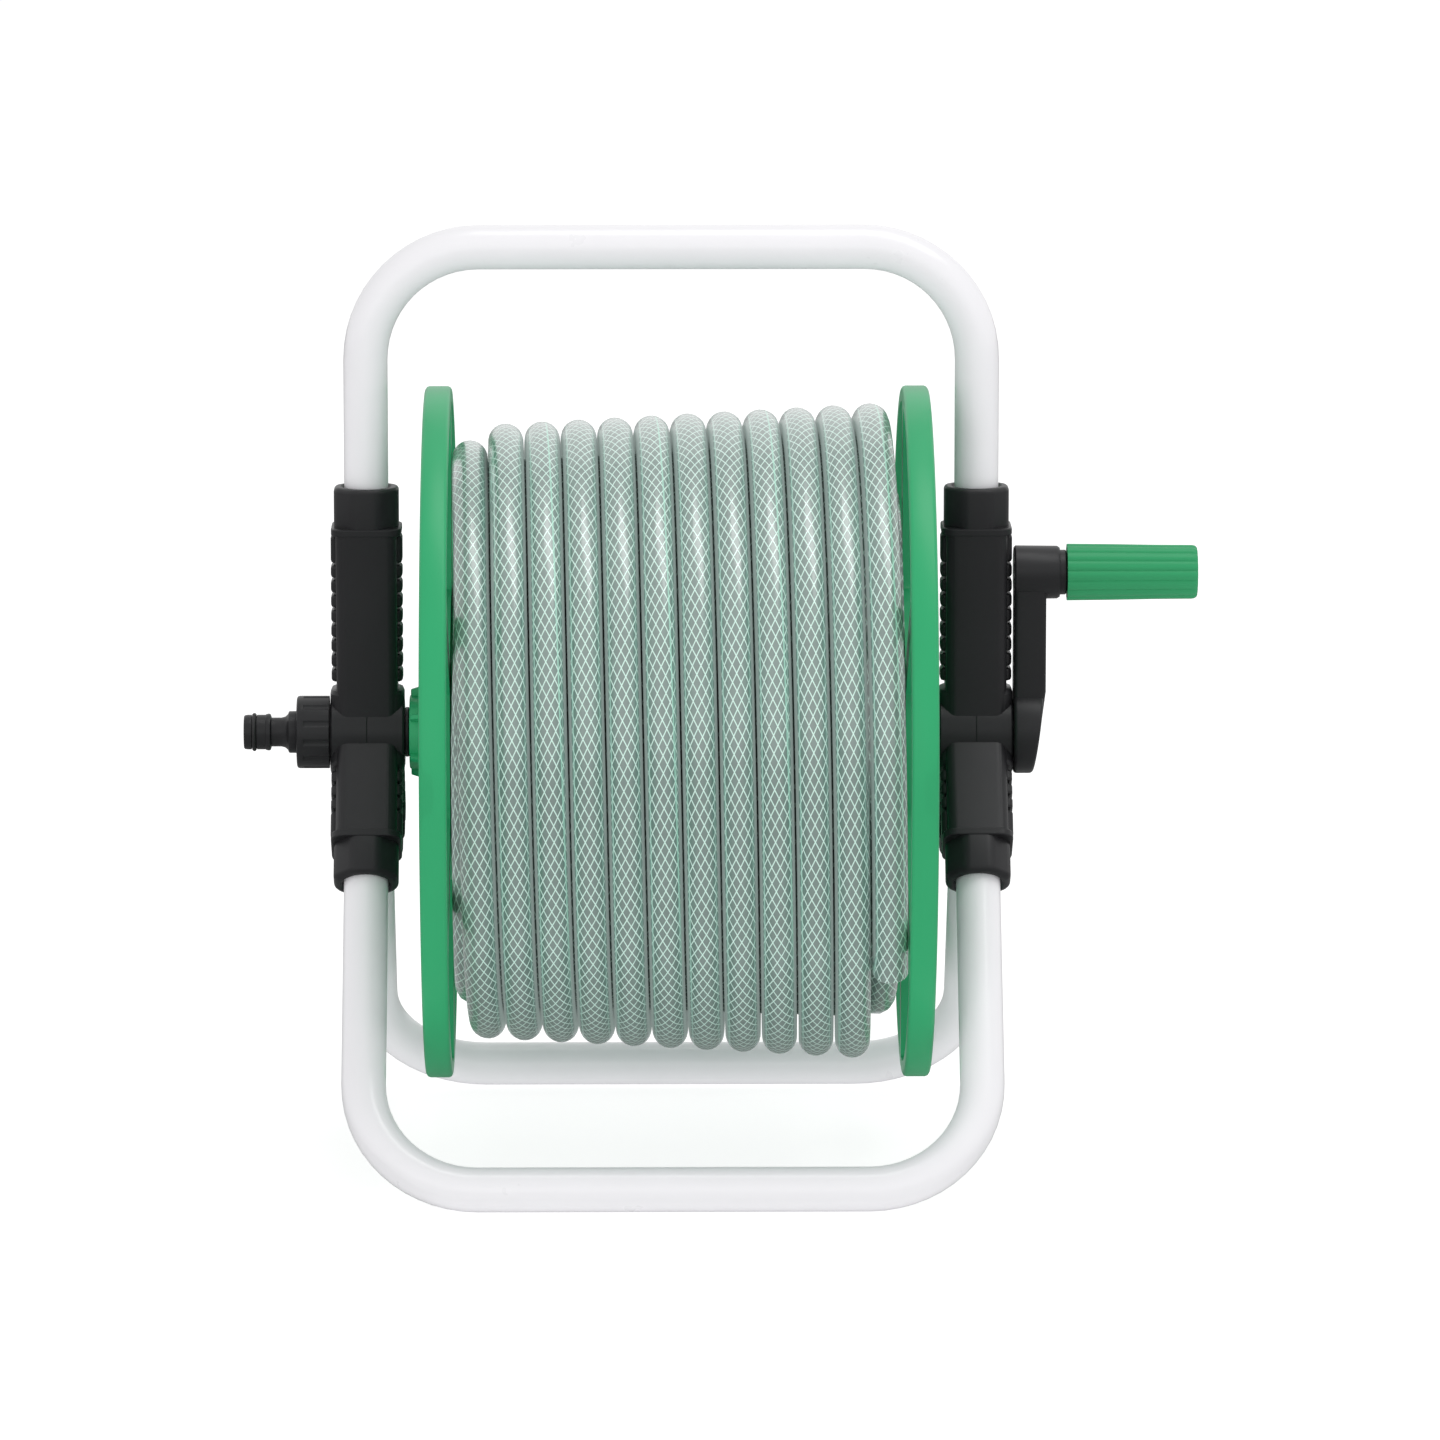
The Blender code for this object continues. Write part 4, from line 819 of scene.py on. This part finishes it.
def window(middle_angle):
    """The cutter of one window between two spokes, with round corners."""
    bm = bmesh.new()
    corners = []
    for radius, order in ((150.0, 1), (67.0, -1)):
        reach = pi / 6 - asin(spoke_width / 2 / radius)
        for step in range(17):
            angle = middle_angle + order * reach * (step / 8 - 1)
            y, z = radius * cos(angle), radius * sin(angle)
            corners.append(bm.verts.new((-20.0 * mm, y * mm, z * mm)))
    bm.faces.new(corners)
    rounded(bm, [corners[index] for index in (0, 16, 17, 33)], 7.0, 5, "VERTICES")
    return thickened(bm, (40.0, 0.0, 0.0))


def gusset(angle, boss_end):
    """A small rib on a spoke that stiffens the boss, from +Z turned to its angle."""
    bm = bmesh.new()
    sunk, out, foot = web_thickness - 1.0, web_thickness + 4.0, web_thickness + 1.0
    outline = [(sunk, 14.0), (boss_end - 0.6, 14.0), (boss_end - 0.6, 19.6), (out, 23.0),
               (foot, 58.0), (sunk, 58.0)]
    bm.faces.new([bm.verts.new((x * mm, -1.2 * mm, z * mm)) for x, z in outline])
    return moved(soften(thickened(bm, (0.0, 2.4, 0.0)), 0.4), rotation(angle))


# %% Flanges
rim_width = 12.0
square_side = 11.61


def flange(boss_length, bore):
    """A flange whose hose side is at x = 0 and whose boss points along +X."""
    outline = [(0.0, 0.0), (0.0, 154.0), (0.1, 155.6), (0.7, 156.6), (1.7, 157.0),
               (rim_width - 1.9, 157.0), (rim_width - 0.8, 156.6), (rim_width - 0.1, 155.5),
               (rim_width, 154.5), (rim_width - 0.1, 153.3), (rim_width - 0.7, 152.6),
               (rim_width - 1.4, 152.5), (5.2, 152.3), (4.3, 151.8), (web_thickness, 150.9),
               (web_thickness, 17.6), (4.2, 17.0), (4.8, 16.8), (boss_length - 0.8, 16.8),
               (boss_length - 0.2, 16.6), (boss_length, 16.0), (boss_length, 0.0)]
    holes = [window(pi * index / 3) for index in range(6)]
    holes += [moved(rod(-3.0, 8.0, 2.0, 16), spot) for spot in screw_spots]
    body = boolean(turned(outline, 144), holes, "DIFFERENCE")
    ribs = [gusset(pi / 3 * index, boss_length) for index in range(6)]
    return boolean(boolean(body, ribs, "UNION"), [bore], "DIFFERENCE")


round_seat = rod(-5.0, 30.0, 12.3)
square_seat = box((60.0, square_side, square_side), (10.0, 0.0, 0.0))
for side_name, boss_length, seat in (("left", 19.45, round_seat), ("right", 14.95, square_seat)):
    finish_piece(f"{side_name}_flange",
                 moved(flange(boss_length, seat), flange_places[side_name]), green_plastic,
                 "drum")

# %% [markdown]
# ## Winding of the hose
# The hose is one long tube wound on the barrel in five layers. It is drawn as a curve
# along the middle of the hose, because a curve gives a round tube with an even UV map:
# the outer layer climbs out of the layer below at the left flange and works its way to
# the right, each turn a hair from its neighbour. The curve becomes a mesh, and its open
# end gets a wall and a bore, as a cut hose shows.

# %% Winding of the outer layer
layer_step = 16.5
wind_left, wind_right = -91.25, 96.25
radius_left, radius_right = 131.15, 141.35
wind_start, climb_end = radians(-172.0), radians(120.0)
whole_turns = 11
wind_end = 2 * pi * whole_turns + radians(122.0)


def smooth(share):
    """An even start and stop between 0 and 1."""
    return share * share * (3 - 2 * share)


def on_winding(angle, x, radius):
    """A point of the winding, at angle 0 on top and then forwards, in millimetres."""
    return Vector((x, -radius * sin(angle), radius * cos(angle)))


def outer_turn(angle):
    """Middle of the outer layer's hose at a winding angle."""
    share = max(angle, 0.0) / wind_end
    x = wind_left + (wind_right - wind_left) * share
    radius = radius_left + (radius_right - radius_left) * share
    if angle < climb_end:
        climb = (angle - wind_start) / (climb_end - wind_start)
        radius -= layer_step * (1 - smooth(climb))
    return on_winding(angle, x, radius)


# %% Route and its length
hose_radius = 7.95


def route(place, start, end, steps_per_turn):
    """Evenly spaced points of a winding, with a short straight end each way."""
    count = ceil((end - start) / (2 * pi) * steps_per_turn)
    points = [place(start + (end - start) * step / count) for step in range(count + 1)]
    first = (points[0] - points[1]).normalized() * 2 * hose_radius
    last = (points[-1] - points[-2]).normalized() * 2 * hose_radius
    return [points[0] + first, *points, points[-1] + last]


def route_length(points):
    """Length of a route in metres."""
    return sum((b - a).length for a, b in zip(points, points[1:])) * mm


# %% Sides of the hose
def between(share):
    """A share kept between 0 and 1."""
    return min(max(share, 0.0), 1.0)


def beside_a_turn(x, facing):
    """How much a side of the hose faces the next turn, 0 where it faces a flange."""
    end, inward = (wind_left, 1.0) if facing < 0.0 else (wind_right, -1.0)
    return between((inward * (x - end) - hose_radius) / 3.0)


# %% Tube along a route
def tube_along(name, points, radius, sides):
    """A plain round tube along a route, with the UV map that a curve gives it."""
    curve = bpy.data.curves.new(name, "CURVE")
    curve.dimensions = "3D"
    curve.bevel_depth = radius * mm
    curve.bevel_resolution = sides // 2 - 2
    spline = curve.splines.new("POLY")
    spline.points.add(len(points) - 1)
    for slot, point in zip(spline.points, points):
        slot.co = (*(point * mm), 1.0)
    holder = linked(name, curve)
    graph = bpy.context.evaluated_depsgraph_get()
    mesh = bpy.data.meshes.new_from_object(holder.evaluated_get(graph))
    bpy.data.objects.remove(holder, do_unlink=True)
    bpy.data.curves.remove(curve)
    bm = bmesh.new()
    bm.from_mesh(mesh)
    bpy.data.meshes.remove(mesh)
    return bm


# %% Hose with cut ends
hose_bore = 6.25
bore_depth = 14.0


def hose_tube(name, points, radius, sides, gaps=False):
    """A hose along a route, its ends walled and bored; gaps marks the sides between turns."""
    bm = tube_along(name, points, radius, sides)
    for end, inward in ((points[0], points[1]), (points[-1], points[-2])):
        rim = [edge for edge in bm.edges if edge.is_boundary
               and (edge.verts[0].co / mm - end).length < 2 * radius]
        corners, lip = repeated(bm, rim)
        bmesh.ops.scale(bm, vec=Vector((1, 1, 1)) * hose_bore / hose_radius, verts=corners,
                        space=Matrix.Translation(-end * mm))
        bottom = draw_out(bm, lip, (inward - end).normalized() * bore_depth)
        bmesh.ops.contextual_create(bm, geom=bottom)
    bmesh.ops.recalc_face_normals(bm, faces=bm.faces[:])
    bm.normal_update()
    side = bm.verts.layers.float.new("side")
    # The side attribute marks where the hose material paints shade and a glow between turns.
    if gaps:
        for corner in bm.verts:
            corner[side] = corner.normal.x * beside_a_turn(corner.co.x / mm, corner.normal.x)
    return bm


# %% Outer layer
outer_points = route(outer_turn, wind_start, wind_end, 60)
outer_length = route_length(outer_points)
print(f"outer layer: {outer_length:.2f} m of hose")
outer_hose = hose_finish("braided_hose", outer_length)
outer_tube = hose_tube("outer_layer", outer_points, hose_radius, 24, gaps=True)
finish_piece("hose_outer_layer", outer_tube, outer_hose, "drum", sharp=50.0)

# %% [markdown]
# ## Layers beneath
# The layers under the outer one show only through the flanges and between turns. They are
# one more tube, with fewer sides, wound to and fro on the barrel. It ends where the outer
# layer starts, and the two cut ends meet behind a spoke of the left flange. The tube is a
# little thin, so that a turn never pokes through the one above it.

# %% Inner layers
inner_radius = 7.6
first_layer_radius = 69.9
turns_per_layer = 11.4
turn_back = 0.5 / turns_per_layer


def inner_turn(angle):
    """Middle of the inner layers' hose: four layers, to and fro, ending under the outer one."""
    back = (inner_end - angle) / (2 * pi * turns_per_layer)
    layer = min(int(back), 3)
    inside = between((back - layer - turn_back / 2) / (1 - turn_back))
    across = inside if layer % 2 == 0 else 1 - inside
    rise = between((back - layer - 1 + turn_back) / turn_back)
    level = 3 - layer - (smooth(rise) if layer < 3 else 0.0)
    x = wind_left + 0.6 + (wind_right - wind_left - 1.2) * across
    top = radius_left + (radius_right - radius_left) * across
    spacing = (top - first_layer_radius) / 4
    return on_winding(angle, x, first_layer_radius + spacing * level)


inner_end = wind_start - radians(16.0)
inner_start = inner_end - 2 * pi * turns_per_layer * 4
inner_points = route(inner_turn, inner_start, inner_end, 36)
inner_length = route_length(inner_points)
print(f"inner layers: {inner_length:.1f} m of hose")
inner_hose = hose_finish("braided_hose_inside", inner_length)
inner_tube = hose_tube("inner_layers", inner_points, inner_radius, 12)
finish_piece("hose_inner_layers", inner_tube, inner_hose, "drum", sharp=50.0)

# %% [markdown]
# ## Lead of the hose
# A short straight length leaves the barb of the water elbow towards the winding. It lies
# hidden inside the drum, and the same helper draws it.

# %% Hose lead
lead_points = [Vector((-87.95, 0.0, 16.0 + 44.8 * step / 8)) for step in range(9)]
lead_hose = hose_finish("braided_hose_lead", route_length(lead_points))
lead_tube = hose_tube("lead", lead_points, hose_radius, 24)
finish_piece("hose_lead", lead_tube, lead_hose, "drum", sharp=50.0)

# %% [markdown]
# ## Crank
# The crank is a thick bar from a round disc on the axle to a boss at the grip. Seen from
# the front its outer face slopes: the disc is thin below and as thick as the bar on top.
# Disc and bar are cut along that one slope, softened and welded with the boss.

# %% Crank arm
crank_radius = 73.0
crank_in, crank_out = 155.15, 169.75
disc_radius = 19.3
rim_thickness = 9.5
face_slope = (crank_out - crank_in - rim_thickness) / (2 * disc_radius)
crank_face = (crank_out + crank_in + rim_thickness) / 2
at_grip = shift(z=crank_radius)
print(f"crank face: slope {face_slope:.3f}")


def sloped(bm, sink):
    """Cut a shape along the crank's sloping face, sunk by some millimetres, and close it."""
    bmesh.ops.bisect_plane(bm, geom=bm.verts[:] + bm.edges[:] + bm.faces[:],
                           plane_co=((crank_face - sink) * mm, 0.0, 0.0),
                           plane_no=(1.0, 0.0, -face_slope), clear_outer=True)
    rim = [edge for edge in bm.edges if edge.is_boundary]
    bmesh.ops.contextual_create(bm, geom=rim)
    return tidy(bm)


disc = rod(crank_in, crank_out + 4.0, disc_radius, 96)
disc = soften(sloped(disc, 0.6), 1.6, 4, sharp=50.0)
bar = box((crank_out - crank_in, 19.0, crank_radius),
          ((crank_in + crank_out) / 2, 0.0, crank_radius / 2))
bar = soften(sloped(bar, 0.0), 2.2, 4, sharp=50.0)
boss = turned([(crank_in, 0.0), (crank_in, 11.4), (crank_in + 0.8, 12.2), (crank_out + 5.0, 12.0),
               (crank_out + 6.2, 11.2), (crank_out + 6.2, 10.2), (crank_out + 8.6, 10.2),
               (crank_out + 9.2, 9.6), (crank_out + 9.2, 0.0)], 64)
crank = boolean(disc, [bar, moved(boss, at_grip)], "UNION")
holes = [box((10.0, square_side, square_side), (158.1, 0.0, 0.0)), rod(150.0, 180.0, 2.2, 24),
         rod(164.6, 180.0, 4.3, 32), moved(rod(162.65, 190.0, 4.3, 32), at_grip)]
finish_piece("crank_arm", boolean(crank, holes, "DIFFERENCE"), black_plastic, "drum",
             sharp=35.0)

# %% Pin of the grip
pin = turned([(163.0, 0.0), (163.0, 4.0), (232.84, 4.0), (232.84, 5.9), (233.3, 6.2),
              (234.6, 6.2), (235.04, 5.6), (235.04, 0.0)], 32)
finish_piece("grip_pin", moved(pin, at_grip), zinc_steel, "drum")

# %% [markdown]
# ## Grip
# The grip is a soft green sleeve that turns on the pin. Its section is a ring of shallow
# flutes, so the mesh starts as that ring and is drawn out along the grip, a little
# narrower at each station, then in to the hollow round the pin's head. The bore is drawn
# out from the near end and bridged to that hollow. Rings keep the flutes straight and
# every face four-sided.

# %% Grip
flute_count = 16
flute_depth = 0.75
grip_start = 179.25
grip_radius = 12.95
grip_bore = 4.15
hollow_radius, hollow_depth = 7.0, 5.4
grip_outline = [(0.0, grip_radius), (20.0, 12.75), (40.0, 12.4), (56.6, 12.3), (57.8, 12.1),
                (58.6, 11.6), (59.0, 10.9)]


def drawn_in(bm, edges, radius):
    """Extrude a ring flat inwards to a round ring about the X axis."""
    corners, rings = repeated(bm, edges)
    for corner in corners:
        corner.co.yz = corner.co.yz.normalized() * radius * mm
    return rings


def fluted_grip():
    """The grip as rings drawn out along X, fluted all along and rounded at the end."""
    bm = bmesh.new()
    bmesh.ops.create_circle(bm, segments=flute_count * 8, radius=grip_radius * mm,
                            matrix=shift(grip_start) @ rotation(pi / 2, "Y"))
    for index, corner in enumerate(bm.verts):
        dip = flute_depth * (1 - abs(cos(pi * (index % 8) / 8))) ** 1.6
        corner.co.yz = corner.co.yz * (grip_radius - dip) / grip_radius
    outer = bm.edges[:]
    bore_length = grip_outline[-1][0] - hollow_depth
    bore = draw_out(bm, drawn_in(bm, outer, grip_bore), (bore_length, 0.0, 0.0))
    for (x, radius), (next_x, next_radius) in zip(grip_outline, grip_outline[1:]):
        corners, outer = repeated(bm, outer)
        bmesh.ops.translate(bm, verts=corners, vec=((next_x - x) * mm, 0.0, 0.0))
        for corner in corners:
            corner.co.yz = corner.co.yz * next_radius / radius
    hollow = draw_out(bm, drawn_in(bm, outer, hollow_radius), (-hollow_depth, 0.0, 0.0))
    bmesh.ops.bridge_loops(bm, edges=hollow + bore)
    return tidy(bm)


finish_piece("crank_grip", moved(fluted_grip(), at_grip), grip_plastic, "grip",
             sharp=50.0)

# %% [markdown]
# ## Pieces kept from the CAD
# Hidden fittings already have the right shape, so they stay and only get a finish.

# %% Kept pieces
kept = {
    "inlet_spigot": black_plastic, "spigot_seal_1": black_rubber, "spigot_seal_2": black_rubber,
    "inlet_washer": black_rubber, "water_elbow": black_plastic, "drum_barrel": green_plastic,
    "crank_shaft": zinc_steel, "hose_clamp": zinc_steel,
}
for name, material in kept.items():
    for slot in frame["nodes"][name].material_slots:
        slot.material = material
print("kept from the CAD:", ", ".join(kept))
